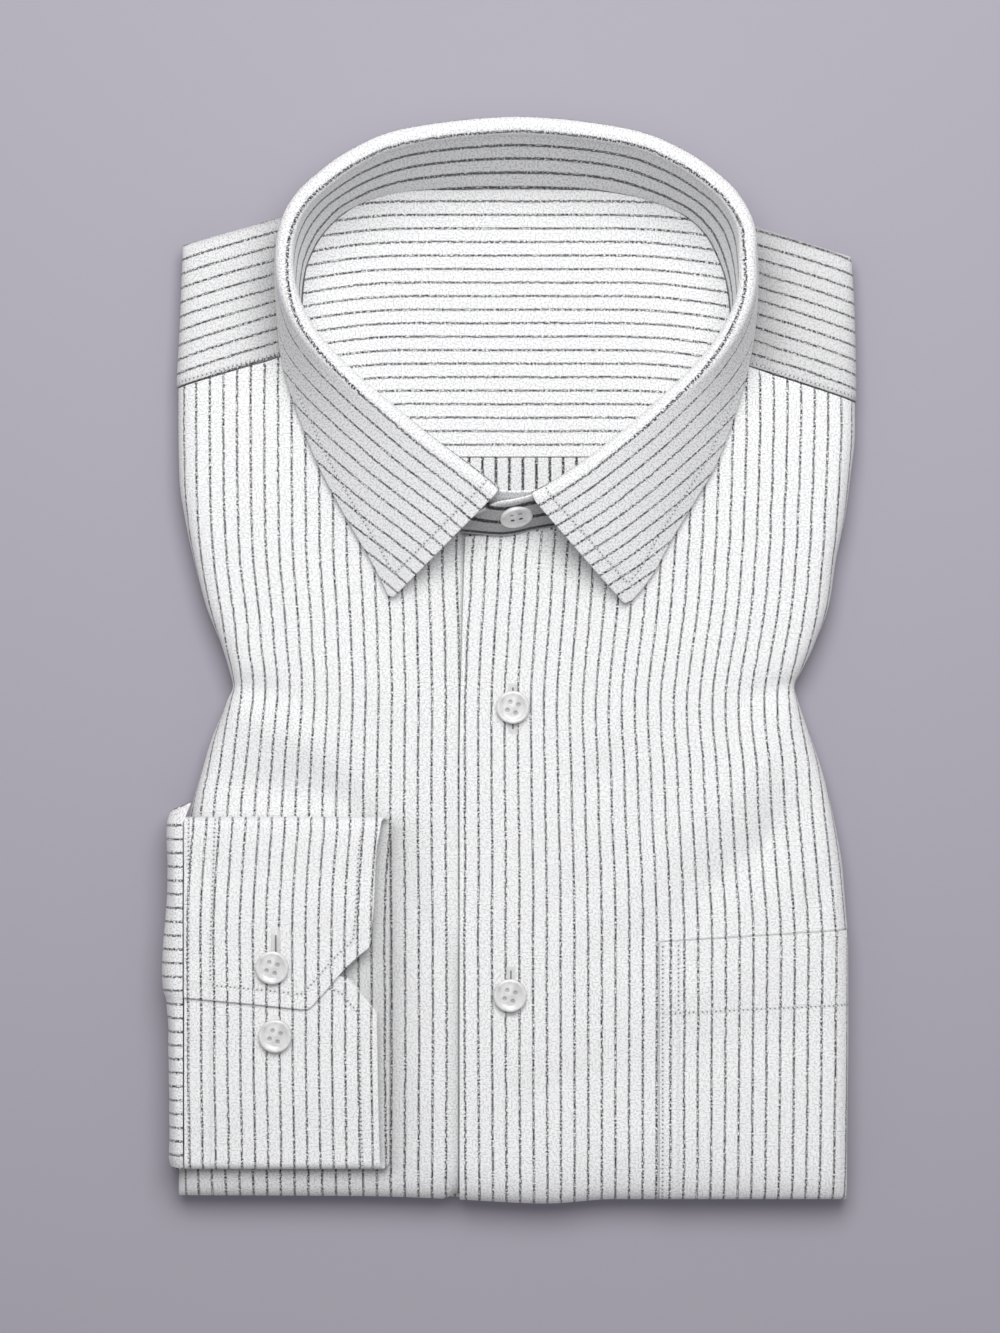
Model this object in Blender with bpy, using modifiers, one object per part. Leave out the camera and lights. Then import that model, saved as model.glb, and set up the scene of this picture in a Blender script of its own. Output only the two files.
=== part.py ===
"""Folded dress shirt, lying on its back with its collar buttoned and one cuff laid on the front.

Each piece that was cut and sewn is a closed wall of its own, 0.3 mm clear of its neighbours.
Tables and sizes are in millimetres; the model is in metres. +X is towards the pocket's side,
+Y towards the collar, +Z up. The shirt rests on z = 0.
"""

import math
from bisect import bisect_right
from collections import namedtuple

import bmesh
import bpy
from mathutils import Matrix, Vector

MM = 0.001

# Walls and gaps.
CLOTH_WALL = 1.2
POCKET_WALL = 1.0
SEAM_GAP = 0.3

# Heights of the folded body above the surface that it rests on.
CHEST_HEIGHT = 18.0
SHOULDER_HEIGHT = 13.0
FOLD_MID_HEIGHT = 8.8
FOLD_HEM_DROP = 0.8
SHOULDER_SLOPE_FROM_Y = 60.0
SHOULDER_SLOPE_TO_Y = 150.0

# How far the rounded folds reach in from the body's outline.
SIDE_ROLL = 10.0
BOTTOM_ROLL = 16.0
TOP_ROLL = 10.0
ROLL_STEPS = 5
LARGEST_ROLL_SHARE = 0.7

# The placket lies over the other front and is folded double.
PLACKET_LIFT = 1.2
PLACKET_FLAT_TO_X = 15.0
PLACKET_LIFT_ENDS_X = 32.0
PLACKET_WAVE = 0.8
PLACKET_WAVE_Y = -125.0
PLACKET_WAVE_REACH = 42.0
UNDERLAP_X = 3.0
UNDERLAP_DROP = 0.6
UNDERLAP_TUCK = 2.0

# The folded layers that the fronts lie on.
CORE_CLEARANCE = 2.0
CORE_TOP_CLEARANCE = 3.0
CORNER_INSET = 1.5
CORE_SIDES_FROM_Y = -150.0
CORE_SIDES_TO_Y = 120.0
NECK_DISH_FLOOR = 6.4
NECK_DISH_TOP = 30.0
NECK_DISH_MARGIN = 1.8
NECK_SEAM_MARGIN = 1.1

# The inner yoke and back, seen down the neck.
NECK_FLOOR_HEIGHT = 8.2
NECK_FLOOR_BACK_RISE = 1.0
NECK_FLOOR_RISE_POWER = 3.0
YOKE_SEAM_Y = 71.9
BACK_STRIP_END_Y = 49.0

# The collar's roll, where the leaf turns over the stand.
ROLL_RADIUS = 2.3
ROLL_DEPTH = 1.5
LEAF_BULGE = 1.6
STAND_BOW = 0.8

# The cuff, a flattened tube with lapped ends.
CUFF_BACK_UNDERSIDE = 18.3
CUFF_UPPER_TOP = 25.7
CUFF_LOWER_TOP = 24.2
CUFF_DOME = 0.8
CUFF_TOP_FOLD_Y = -54.4
CUFF_BOTTOM_FOLD_Y = -177.4
CUFF_MOUTH_BACK_X = -42.0
CUFF_SEAM_X = -113.5

# Buttons.
BUTTON_RADIUS = 5.7
BUTTON_THICKNESS = 2.6
BUTTON_DISH_RADIUS = 4.0
BUTTON_DISH_DEPTH = 0.7
BUTTON_HOLE_RADIUS = 0.75
BUTTON_HOLE_OFFSET = 1.25
BUTTON_SIDES = 24
BUTTON_HOLE_SIDES = 8

# Moves the model so that its origin is under the middle of its box.
ORIGIN = (-0.1, 1.15, 0.0)

# The body's side folds at their widest, from the shoulders to the bottom fold.
BodyRow = namedtuple("BodyRow", "y left right")
BODY_ROWS = (
    BodyRow(y=146.0, left=-114.6, right=119.8),
    BodyRow(y=127.0, left=-115.3, right=120.9),
    BodyRow(y=111.0, left=-116.0, right=121.4),
    BodyRow(y=96.0, left=-116.7, right=121.6),
    BodyRow(y=81.0, left=-116.7, right=121.6),
    BodyRow(y=64.0, left=-116.3, right=119.9),
    BodyRow(y=50.0, left=-114.2, right=118.0),
    BodyRow(y=36.0, left=-111.2, right=115.0),
    BodyRow(y=20.0, left=-107.0, right=112.5),
    BodyRow(y=5.0, left=-101.2, right=107.0),
    BodyRow(y=-4.0, left=-98.4, right=102.6),
    BodyRow(y=-9.0, left=-97.3, right=100.3),
    BodyRow(y=-13.5, left=-99.2, right=101.4),
    BodyRow(y=-21.0, left=-102.2, right=103.9),
    BodyRow(y=-27.0, left=-104.7, right=106.1),
    BodyRow(y=-38.0, left=-108.2, right=109.8),
    BodyRow(y=-48.0, left=-111.0, right=112.5),
    BodyRow(y=-59.0, left=-113.5, right=114.9),
    BodyRow(y=-72.0, left=-115.0, right=117.1),
    BodyRow(y=-84.0, left=-115.5, right=118.1),
    BodyRow(y=-100.0, left=-115.8, right=119.2),
    BodyRow(y=-130.0, left=-116.0, right=119.3),
    BodyRow(y=-165.0, left=-116.0, right=118.9),
    BodyRow(y=-177.0, left=-116.4, right=118.8),
    BodyRow(y=-190.0, left=-117.2, right=118.6),
)

# The bottom fold and the fold over the shoulders, from left to right.
EdgePoint = namedtuple("EdgePoint", "x y")
BOTTOM_EDGE = (
    EdgePoint(x=-117.2, y=-188.0),
    EdgePoint(x=-52.6, y=-188.3),
    EdgePoint(x=-18.5, y=-189.4),
    EdgePoint(x=12.9, y=-190.8),
    EdgePoint(x=37.2, y=-189.4),
    EdgePoint(x=118.6, y=-189.4),
)
TOP_EDGE = (
    EdgePoint(x=-114.6, y=146.0),
    EdgePoint(x=-97.0, y=151.0),
    EdgePoint(x=-79.7, y=156.0),
    EdgePoint(x=-64.0, y=166.0),
    EdgePoint(x=-42.0, y=173.5),
    EdgePoint(x=2.0, y=177.5),
    EdgePoint(x=46.0, y=173.5),
    EdgePoint(x=68.0, y=165.0),
    EdgePoint(x=84.0, y=153.5),
    EdgePoint(x=102.0, y=147.5),
    EdgePoint(x=119.8, y=142.0),
)

# Soft troughs in the fronts and yoke: at the waist's two pinches, and beside the collar.
Trough = namedtuple("Trough", "x y reach_x reach_y depth")
TROUGHS = (
    Trough(x=-92.0, y=-10.0, reach_x=14.0, reach_y=7.0, depth=1.4),
    Trough(x=-76.0, y=-36.0, reach_x=24.0, reach_y=12.0, depth=0.9),
    Trough(x=95.0, y=-10.0, reach_x=13.0, reach_y=7.0, depth=1.4),
    Trough(x=94.0, y=-54.0, reach_x=10.0, reach_y=18.0, depth=0.8),
    Trough(x=-90.0, y=112.0, reach_x=4.0, reach_y=22.0, depth=0.8),
    Trough(x=93.0, y=110.0, reach_x=4.0, reach_y=16.0, depth=0.7),
)

# The collar, from its left point round the back of the neck to its right point. Base is where
# the stand meets the shirt, fold is where the leaf turns over, and hem is the leaf's edge.
CollarRow = namedtuple(
    "CollarRow", "base_x base_y base_z fold_x fold_y fold_z hem_x hem_y hem_z")
COLLAR_ROWS = (
    CollarRow(-4.7, 46.6, 18.4, -3.7, 59.3, 40.0, -41.4, 21.3, 20.2),
    CollarRow(-11.7, 47.3, 18.2, -9.9, 64.1, 41.5, -46.7, 32.5, 20.2),
    CollarRow(-21.5, 50.0, 17.8, -18.8, 70.6, 42.5, -54.7, 46.5, 20.2),
    CollarRow(-33.4, 56.4, 17.5, -29.2, 77.4, 43.5, -62.4, 60.5, 20.2),
    CollarRow(-48.2, 68.3, 17.0, -41.2, 88.1, 44.5, -68.0, 72.0, 20.0),
    CollarRow(-59.4, 81.6, 16.4, -52.5, 97.3, 45.5, -71.9, 82.5, 19.6),
    CollarRow(-67.5, 95.0, 15.6, -61.8, 106.9, 46.5, -75.7, 93.1, 18.8),
    CollarRow(-72.1, 109.1, 14.6, -69.6, 117.1, 47.3, -79.1, 105.4, 17.8),
    CollarRow(-73.5, 123.2, 13.4, -74.1, 128.4, 48.0, -80.8, 121.3, 16.6),
    CollarRow(-72.5, 136.0, 12.2, -75.1, 139.3, 48.6, -81.4, 137.9, 15.6),
    CollarRow(-69.1, 145.5, 11.2, -74.0, 147.5, 49.1, -80.3, 148.7, 15.2),
    CollarRow(-63.8, 153.0, 10.5, -70.9, 154.7, 49.5, -77.8, 157.4, 13.0),
    CollarRow(-55.4, 159.7, 10.0, -64.7, 161.5, 49.8, -71.0, 167.0, 9.0),
    CollarRow(-41.3, 164.7, 9.5, -52.0, 170.7, 50.0, -57.0, 176.6, 8.0),
    CollarRow(-24.4, 166.1, 9.2, -34.2, 177.6, 50.0, -37.0, 184.0, 8.0),
    CollarRow(2.7, 165.8, 9.0, 2.5, 181.4, 50.0, 2.7, 187.6, 8.0),
    CollarRow(29.1, 165.8, 9.2, 38.5, 177.6, 50.0, 42.0, 183.8, 8.0),
    CollarRow(45.9, 163.3, 9.5, 57.0, 170.7, 50.0, 62.0, 176.0, 8.0),
    CollarRow(60.7, 157.6, 10.0, 70.1, 161.5, 49.8, 75.8, 166.0, 9.0),
    CollarRow(69.1, 150.5, 10.5, 75.9, 154.7, 49.5, 82.0, 156.4, 13.0),
    CollarRow(73.3, 143.1, 11.2, 79.0, 147.5, 49.1, 85.2, 146.9, 15.2),
    CollarRow(76.8, 133.1, 12.2, 79.4, 138.6, 48.6, 86.3, 136.1, 15.6),
    CollarRow(78.1, 121.5, 13.4, 79.1, 127.4, 48.0, 85.7, 120.2, 16.6),
    CollarRow(77.0, 108.4, 14.6, 75.0, 116.1, 47.3, 83.5, 105.4, 17.8),
    CollarRow(73.1, 94.3, 15.6, 67.5, 105.1, 46.5, 79.9, 92.0, 18.9),
    CollarRow(65.7, 80.9, 16.4, 58.6, 95.9, 45.5, 76.1, 80.1, 19.6),
    CollarRow(55.5, 68.3, 17.0, 48.0, 86.0, 44.5, 71.1, 67.5, 20.0),
    CollarRow(42.2, 57.1, 17.5, 37.0, 76.8, 43.5, 64.5, 56.3, 20.2),
    CollarRow(28.9, 50.8, 17.8, 25.3, 67.9, 42.5, 56.1, 42.3, 20.2),
    CollarRow(17.7, 47.6, 18.2, 14.9, 61.3, 41.5, 49.1, 29.4, 20.2),
    CollarRow(9.6, 46.2, 18.6, 7.7, 57.6, 40.0, 40.7, 19.2, 20.2),
)
LAST_ROW = len(COLLAR_ROWS) - 1
BACK_ROW = 15
LEFT_SEAM_ROW = 7.0
RIGHT_SEAM_ROW = 23.2

# The stand's two ends, past the leaf: the left one passes under, the right one over it.
LapRow = namedtuple("LapRow", "base_x base_y base_z top_x top_y top_z")
UNDER_LAP = (
    LapRow(14.0, 50.2, 19.4, 15.0, 62.4, 35.5),
    LapRow(5.0, 48.2, 19.4, 6.5, 60.9, 38.2),
)
OVER_LAP = (
    LapRow(1.0, 45.0, 19.6, 1.0, 55.9, 36.8),
    LapRow(-5.5, 44.7, 19.6, -5.4, 54.7, 35.2),
    LapRow(-14.5, 45.3, 19.6, -13.0, 50.5, 30.5),
)

# The placket's edge, from the collar to the bottom fold.
PLACKET_EDGE = (
    EdgePoint(x=-15.6, y=43.0),
    EdgePoint(x=-16.6, y=9.1),
    EdgePoint(x=-17.5, y=-34.6),
    EdgePoint(x=-17.5, y=-190.0),
)

# Heights along Y at which the fronts' sections are taken, below the neck.
FRONT_SECTION_YS = (
    36, 27, 18, 9, 2, -4, -9, -14, -20, -28, -38, -48,
    -60, -72, -84, -97, -110, -123, -136, -149, -161,
)

# Where each station of the outer yoke runs from the neck to the shoulder folds.
YokeStation = namedtuple("YokeStation", "collar_row x y")
YOKE_STATIONS = (
    YokeStation(7.0, -116.7, 96.0),
    YokeStation(7.7, -116.0, 111.0),
    YokeStation(8.5, -115.3, 127.0),
    YokeStation(9.6, -114.6, 146.0),
    YokeStation(10.3, -97.0, 151.0),
    YokeStation(11.0, -79.7, 156.0),
    YokeStation(12.1, -64.0, 166.0),
    YokeStation(13.4, -42.0, 173.5),
    YokeStation(15.0, 2.0, 177.5),
    YokeStation(16.6, 46.0, 173.5),
    YokeStation(18.0, 68.0, 165.0),
    YokeStation(19.2, 84.0, 153.5),
    YokeStation(20.2, 102.0, 147.5),
    YokeStation(20.9, 119.8, 142.0),
    YokeStation(21.9, 120.9, 127.0),
    YokeStation(22.6, 121.4, 109.0),
    YokeStation(23.2, 121.6, 91.0),
)

# The sleeve wraps up round the left side fold: where it bulges most, and the seam's height.
SleeveRow = namedtuple("SleeveRow", "y outer seam_z")
SLEEVE_ROWS = (
    SleeveRow(y=-52.6, outer=-118.6, seam_z=21.5),
    SleeveRow(y=-57.0, outer=-119.6, seam_z=24.2),
    SleeveRow(y=-79.4, outer=-119.4, seam_z=25.2),
    SleeveRow(y=-98.0, outer=-120.8, seam_z=25.6),
    SleeveRow(y=-108.0, outer=-121.4, seam_z=25.6),
    SleeveRow(y=-116.0, outer=-120.6, seam_z=25.4),
    SleeveRow(y=-121.0, outer=-119.6, seam_z=24.4),
    SleeveRow(y=-136.0, outer=-119.1, seam_z=24.4),
    SleeveRow(y=-168.0, outer=-118.7, seam_z=24.2),
    SleeveRow(y=-174.0, outer=-118.9, seam_z=23.4),
    SleeveRow(y=-177.4, outer=-118.3, seam_z=21.0),
)
# The sleeve's section, from the cuff's seam down to the surface: shares of the way out and down.
SLEEVE_PROFILE = (
    (0.0, 0.0), (0.45, 0.03), (0.8, 0.13), (0.96, 0.27), (1.0, 0.45), (0.98, 0.7), (0.8, 0.95),
)
SLEEVE_LOWEST = 0.4

# The cuff's mitred ends: how far each end reaches at places along its depth.
CuffColumn = namedtuple("CuffColumn", "x upper_end lower_end")
CUFF_COLUMNS = (
    CuffColumn(x=CUFF_SEAM_X, upper_end=-117.3, lower_end=-108.0),
    CuffColumn(x=-102.0, upper_end=-118.4, lower_end=-108.0),
    CuffColumn(x=-91.0, upper_end=-119.4, lower_end=-108.0),
    CuffColumn(x=-80.0, upper_end=-120.5, lower_end=-108.0),
    CuffColumn(x=-70.1, upper_end=-121.5, lower_end=-108.0),
    CuffColumn(x=-64.0, upper_end=-115.4, lower_end=-108.5),
    CuffColumn(x=-56.6, upper_end=-107.5, lower_end=-110.8),
    CuffColumn(x=-51.0, upper_end=-102.4, lower_end=-117.6),
    CuffColumn(x=-47.0, upper_end=-99.2, lower_end=-122.4),
)

# The pocket's mouth and sides.
POCKET_LEFT_X = 52.6
POCKET_FOLD_CLEARANCE = 1.8
POCKET_TOP_LEFT_Y = -98.6
POCKET_TOP_RIGHT_Y = -94.4

# Buttons: middle of the underside, and which way each faces.
ButtonPlace = namedtuple("ButtonPlace", "name x y z facing")
BUTTON_PLACES = (
    ButtonPlace("button_collar", 2.3, 48.9, 29.0, (0.18, -0.82, 0.545)),
    ButtonPlace("button_front_1", 1.3, -16.1, 19.9, (0.0, 0.0, 1.0)),
    ButtonPlace("button_front_2", 0.2, -117.0, 19.9, (0.0, 0.0, 1.0)),
    ButtonPlace("button_cuff_1", -82.6, -106.6, 27.0, (0.0, 0.0, 1.0)),
    ButtonPlace("button_cuff_2", -81.6, -130.6, 25.5, (0.0, 0.0, 1.0)),
)

CLOTH_COLOUR = (0.88, 0.88, 0.88, 1.0)
BUTTON_COLOUR = (0.86, 0.86, 0.84, 1.0)


def clear_scene():
    for item in list(bpy.data.objects):
        bpy.data.objects.remove(item, do_unlink=True)


def make_collection(name):
    collection = bpy.data.collections.new(name)
    bpy.context.scene.collection.children.link(collection)
    return collection


def make_material(name, colour, roughness):
    material = bpy.data.materials.new(name)
    material.use_nodes = True
    shader = material.node_tree.nodes["Principled BSDF"]
    shader.inputs["Base Color"].default_value = colour
    shader.inputs["Roughness"].default_value = roughness
    shader.inputs["Metallic"].default_value = 0.0
    return material


def place_object(name, mesh, collection, material, origin):
    """An object for the mesh, in its collection and parented to the shirt's origin."""
    item = bpy.data.objects.new(name, mesh)
    collection.objects.link(item)
    item.parent = origin
    if material:
        mesh.materials.append(material)
    return item


def blend(start, end, share):
    return start + (end - start) * share


def ease(value, start, end):
    """0 before start and 1 after end, with a smooth step between."""
    share = min(max((value - start) / (end - start), 0.0), 1.0)
    return share * share * (3.0 - 2.0 * share)


def smooth_between(keys, values, at):
    """A smooth curve through rising keys, which doesn't overshoot its values."""
    if at <= keys[0]:
        return values[0]
    if at >= keys[-1]:
        return values[-1]
    index = bisect_right(keys, at) - 1
    steps = [b - a for a, b in zip(keys, keys[1:])]
    rates = [(b - a) / step for a, b, step in zip(values, values[1:], steps)]

    def slope(knot):
        if knot == 0:
            return rates[0]
        if knot == len(keys) - 1:
            return rates[-1]
        before, after = rates[knot - 1], rates[knot]
        if before * after <= 0.0:
            return 0.0
        return 2.0 * before * after / (before + after)

    step = steps[index]
    share = (at - keys[index]) / step
    start_slope = slope(index) * step
    end_slope = slope(index + 1) * step
    change = values[index + 1] - values[index]
    square = 3.0 * change - 2.0 * start_slope - end_slope
    cube = start_slope + end_slope - 2.0 * change
    return values[index] + share * (start_slope + share * (square + share * cube))


def column(table, key, value, at):
    """Reads one column of a table smoothly, by another column that rises or falls."""
    rows = sorted(table, key=lambda row: getattr(row, key))
    keys = [getattr(row, key) for row in rows]
    values = [getattr(row, value) for row in rows]
    return smooth_between(keys, values, at)


def along(points, position):
    """A point on the smooth curve through the points; position counts them from 0."""
    last = len(points) - 1
    index = min(max(int(position), 0), last - 1)
    share = position - index
    before = points[max(index - 1, 0)]
    start = points[index]
    end = points[index + 1]
    after = points[min(index + 2, last)]
    straight = (end - before) * share
    square = (2.0 * before - 5.0 * start + 4.0 * end - after) * share ** 2
    cube = (3.0 * start - 3.0 * end + after - before) * share ** 3
    return 0.5 * (2.0 * start + straight + square + cube)


BASE_POINTS = [Vector((row.base_x, row.base_y, row.base_z)) for row in COLLAR_ROWS]
FOLD_POINTS = [Vector((row.fold_x, row.fold_y, row.fold_z)) for row in COLLAR_ROWS]
HEM_POINTS = [Vector((row.hem_x, row.hem_y, row.hem_z)) for row in COLLAR_ROWS]


def side_edge(y, side):
    """X of the left or right side fold at y."""
    return column(BODY_ROWS, "y", side, y)


def bottom_edge(x):
    return column(BOTTOM_EDGE, "x", "y", x)


def top_edge(x):
    return column(TOP_EDGE, "x", "y", x)


def placket_edge(y):
    return column(PLACKET_EDGE, "y", "x", y)


def crown_height(y):
    """Height of the body's flat top, which falls towards the shoulders."""
    fall = ease(y, SHOULDER_SLOPE_FROM_Y, SHOULDER_SLOPE_TO_Y)
    return blend(CHEST_HEIGHT, SHOULDER_HEIGHT, fall)


def fold_share(distance, reach):
    """Height of an elliptical fold, as a share, at a distance in from its outermost line."""
    inward = min(max(distance / reach, 0.0), 1.0)
    return math.sqrt(1.0 - (1.0 - inward) ** 2)


def body_height(x, y):
    """Height of the outer face of the yoke and fronts, without the placket."""
    from_side = min(x - side_edge(y, "left"), side_edge(y, "right") - x)
    share = fold_share(from_side, SIDE_ROLL)
    share *= fold_share(y - bottom_edge(x), BOTTOM_ROLL)
    share *= fold_share(top_edge(x) - y, TOP_ROLL)
    crown = crown_height(y)
    for trough in TROUGHS:
        across = ((x - trough.x) / trough.reach_x) ** 2
        across += ((y - trough.y) / trough.reach_y) ** 2
        crown -= trough.depth * math.exp(-across)
    return FOLD_MID_HEIGHT + (crown - FOLD_MID_HEIGHT) * share


def placket_lift(x, y):
    """How far the upper front rises over the other one along the placket."""
    lift = PLACKET_LIFT * (1.0 - ease(x, PLACKET_FLAT_TO_X, PLACKET_LIFT_ENDS_X))
    near_edge = 1.0 - ease(x - placket_edge(y), 0.0, PLACKET_FLAT_TO_X)
    near_wave = 1.0 - ease(abs(y - PLACKET_WAVE_Y), 0.0, PLACKET_WAVE_REACH)
    return lift + PLACKET_WAVE * near_edge * near_wave


def underlap_drop(x, y):
    """How far the lower front sinks where the placket covers it."""
    edge = placket_edge(y)
    return UNDERLAP_DROP * ease(x, edge - 6.0, edge - 0.5)


def fold_insets(reach):
    """Distances in from a fold, closer together where it turns down, ending on the fold."""
    turns = [math.radians(90.0 * (ROLL_STEPS - step) / ROLL_STEPS)
             for step in range(ROLL_STEPS + 1)]
    return [reach * (1.0 - math.cos(turn)) for turn in turns]


def neck_direction(position):
    """Outward direction, in plan, of the stand's base."""
    step = 0.05
    start = along(BASE_POINTS, max(position - step, 0.0))
    end = along(BASE_POINTS, min(position + step, LAST_ROW))
    way = (end - start).to_2d().normalized()
    return Vector((-way.y, way.x, 0.0))


def neckline(position, margin):
    """The neck seam, moved out by a margin and by the stand's lean at the shirt's surface."""
    base = along(BASE_POINTS, position)
    fold = along(FOLD_POINTS, position)
    outward = neck_direction(position)
    rise = max(crown_height(base.y) - base.z, 0.0) / (fold.z - base.z)
    lean = max((fold - base).dot(outward), 0.0) * rise
    return base + outward * (margin + CLOTH_WALL / 2.0 + lean)


def sheet(name, rows, wall, offset, material, collection, origin):
    """A wall of cloth: rows of points skinned with faces and given a thickness."""
    mesh = bpy.data.meshes.new(name)
    skin = bmesh.new()
    grid = [[skin.verts.new(Vector(point) * MM) for point in row] for row in rows]
    for upper, lower in zip(grid, grid[1:]):
        for left in range(len(upper) - 1):
            skin.faces.new((upper[left], lower[left], lower[left + 1], upper[left + 1]))
    skin.to_mesh(mesh)
    skin.free()
    mesh.shade_smooth()
    item = place_object(name, mesh, collection, material, origin)
    solidify = item.modifiers.new("Wall", "SOLIDIFY")
    solidify.thickness = wall * MM
    solidify.offset = offset
    solidify.use_even_offset = True
    solidify.use_quality_normals = True
    return item


def panel_line(inner, outer, columns):
    """Plan points from a panel's inner edge to the side fold, crowded where it turns down."""
    inner = Vector(inner).to_2d()
    outer = Vector(outer).to_2d()
    way = (inner - outer).normalized()
    reach = min(SIDE_ROLL, LARGEST_ROLL_SHARE * (inner - outer).length)
    flat_end = outer + way * reach
    points = [inner.lerp(flat_end, share / columns) for share in range(columns)]
    points += [outer + way * inset for inset in fold_insets(reach)]
    return points


def panel_rows(lines, height, bottom=None):
    """Lifts plan lines to the body's surface and turns their ends down over the folds."""
    plan = [list(line) for line in lines]
    if bottom:
        for inset in fold_insets(BOTTOM_ROLL):
            plan.append([Vector((p.x, bottom(p.x) + inset)) for p in lines[-1]])
    rows = []
    for line in plan:
        row = [Vector((p.x, p.y, height(p.x, p.y))) for p in line]
        row.append(row[-1] - Vector((0.0, 0.0, FOLD_HEM_DROP)))
        rows.append(row)
    if bottom:
        rows.append([Vector((p.x, p.y, FOLD_MID_HEIGHT - FOLD_HEM_DROP)) for p in rows[-1]])
    return rows


def front_lines(collar_positions, corner, side, inner_x, columns):
    """Plan lines of a front: fanned along the neckline, then level down to the bottom fold."""
    neck_points = [neckline(position, NECK_SEAM_MARGIN) for position in collar_positions]
    neck_points.append(Vector((corner.x, corner.y, 0.0)))
    seam_end_y = YOKE_STATIONS[0].y if side == "left" else YOKE_STATIONS[-1].y
    lines = []
    for index, inner in enumerate(neck_points):
        y = blend(seam_end_y - SEAM_GAP, corner.y, index / (len(neck_points) - 1))
        lines.append(panel_line(inner, (side_edge(y, side), y), columns))
    for y in FRONT_SECTION_YS:
        lines.append(panel_line((inner_x(y), y), (side_edge(y, side), y), columns))
    return lines


def spread(start, end, count):
    """Evenly spaced values from start to end."""
    return [blend(start, end, step / (count - 1)) for step in range(count)]


def make_front_left(material, collection, origin):
    """The wearer's left front, which laps over: neckline, placket edge and side fold."""
    positions = spread(RIGHT_SEAM_ROW, LAST_ROW, 9)
    lines = front_lines(positions, PLACKET_EDGE[0], "right", placket_edge, 9)

    def height(x, y):
        return body_height(x, y) + placket_lift(x, y)

    rows = panel_rows(lines, height, bottom_edge)
    return sheet("front_left", rows, CLOTH_WALL, -1.0, material, collection, origin)


def make_front_right(material, collection, origin):
    """The wearer's right front, which runs under the placket."""
    positions = spread(LEFT_SEAM_ROW, 0.0, 9)
    corner = EdgePoint(x=UNDERLAP_X, y=42.6)
    lines = front_lines(positions, corner, "left", lambda y: UNDERLAP_X, 9)

    def tuck(x):
        edge = placket_edge(BOTTOM_EDGE[2].y)
        return UNDERLAP_TUCK * ease(x, edge - 6.0, edge - 0.8)

    def height(x, y):
        return body_height(x, y - tuck(x)) - underlap_drop(x, y)

    rows = panel_rows(lines, height, lambda x: bottom_edge(x) + tuck(x))
    rows = [list(reversed(row)) for row in rows]
    return sheet("front_right", rows, CLOTH_WALL, -1.0, material, collection, origin)


def make_yoke_outer(material, collection, origin):
    """The outer yoke: both shoulders and the strip behind the neck, in one piece."""
    lines = []
    for station in YOKE_STATIONS:
        inner = neckline(station.collar_row, NECK_SEAM_MARGIN)
        lines.append(panel_line(inner, (station.x, station.y), 4))
    rows = panel_rows(lines, body_height)
    return sheet("yoke_outer", rows, CLOTH_WALL, -1.0, material, collection, origin)


def core_outline():
    """The folded layers' outline: points with the way in from each, along X and Y."""
    side_rows = [row for row in BODY_ROWS if CORE_SIDES_FROM_Y < row.y < CORE_SIDES_TO_Y]
    bottom = BOTTOM_EDGE[1:-1]
    top = TOP_EDGE[1:-1]
    outline = [(row.left, row.y, 1, 0) for row in side_rows]
    outline.append((BOTTOM_EDGE[0].x, BOTTOM_EDGE[0].y, CORNER_INSET, CORNER_INSET))
    outline += [(point.x, point.y, 0, 1) for point in bottom]
    outline.append((BOTTOM_EDGE[-1].x, BOTTOM_EDGE[-1].y, -CORNER_INSET, CORNER_INSET))
    outline += [(row.right, row.y, -1, 0) for row in reversed(side_rows)]
    outline.append((TOP_EDGE[-1].x, TOP_EDGE[-1].y, -CORNER_INSET, -CORNER_INSET))
    outline += [(point.x, point.y, 0, -1) for point in reversed(top)]
    outline.append((TOP_EDGE[0].x, TOP_EDGE[0].y, CORNER_INSET, -CORNER_INSET))
    return outline, len(side_rows)


def core_ring(skin, outline, inset_share, height):
    """One ring of the folded layers, at an inset and height worked out for each point."""
    ring = []
    for x, y, way_x, way_y in outline:
        reach_y = BOTTOM_ROLL if way_y > 0 else TOP_ROLL
        ring_x = x + way_x * inset_share(SIDE_ROLL)
        ring_y = y + way_y * inset_share(reach_y)
        ring.append(skin.verts.new(Vector((ring_x, ring_y, height(ring_y))) * MM))
    return ring


def join_rings(skin, lower, upper):
    for index in range(len(lower)):
        after = (index + 1) % len(lower)
        skin.faces.new((lower[index], lower[after], upper[after], upper[index]))


# The edge of the folded layers: two rounded folds, one on the other. Height and inset.
LayerPoint = namedtuple("LayerPoint", "z inset")
LAYER_EDGE = (
    LayerPoint(z=0.0, inset=2.0),
    LayerPoint(z=0.7, inset=1.0),
    LayerPoint(z=2.0, inset=0.6),
    LayerPoint(z=3.3, inset=1.0),
    LayerPoint(z=3.9, inset=2.1),
    LayerPoint(z=4.5, inset=1.0),
    LayerPoint(z=5.6, inset=0.6),
    LayerPoint(z=6.7, inset=1.0),
    LayerPoint(z=7.3, inset=2.1),
)
CORE_TURNS = (0, 30, 60, 90)


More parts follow.
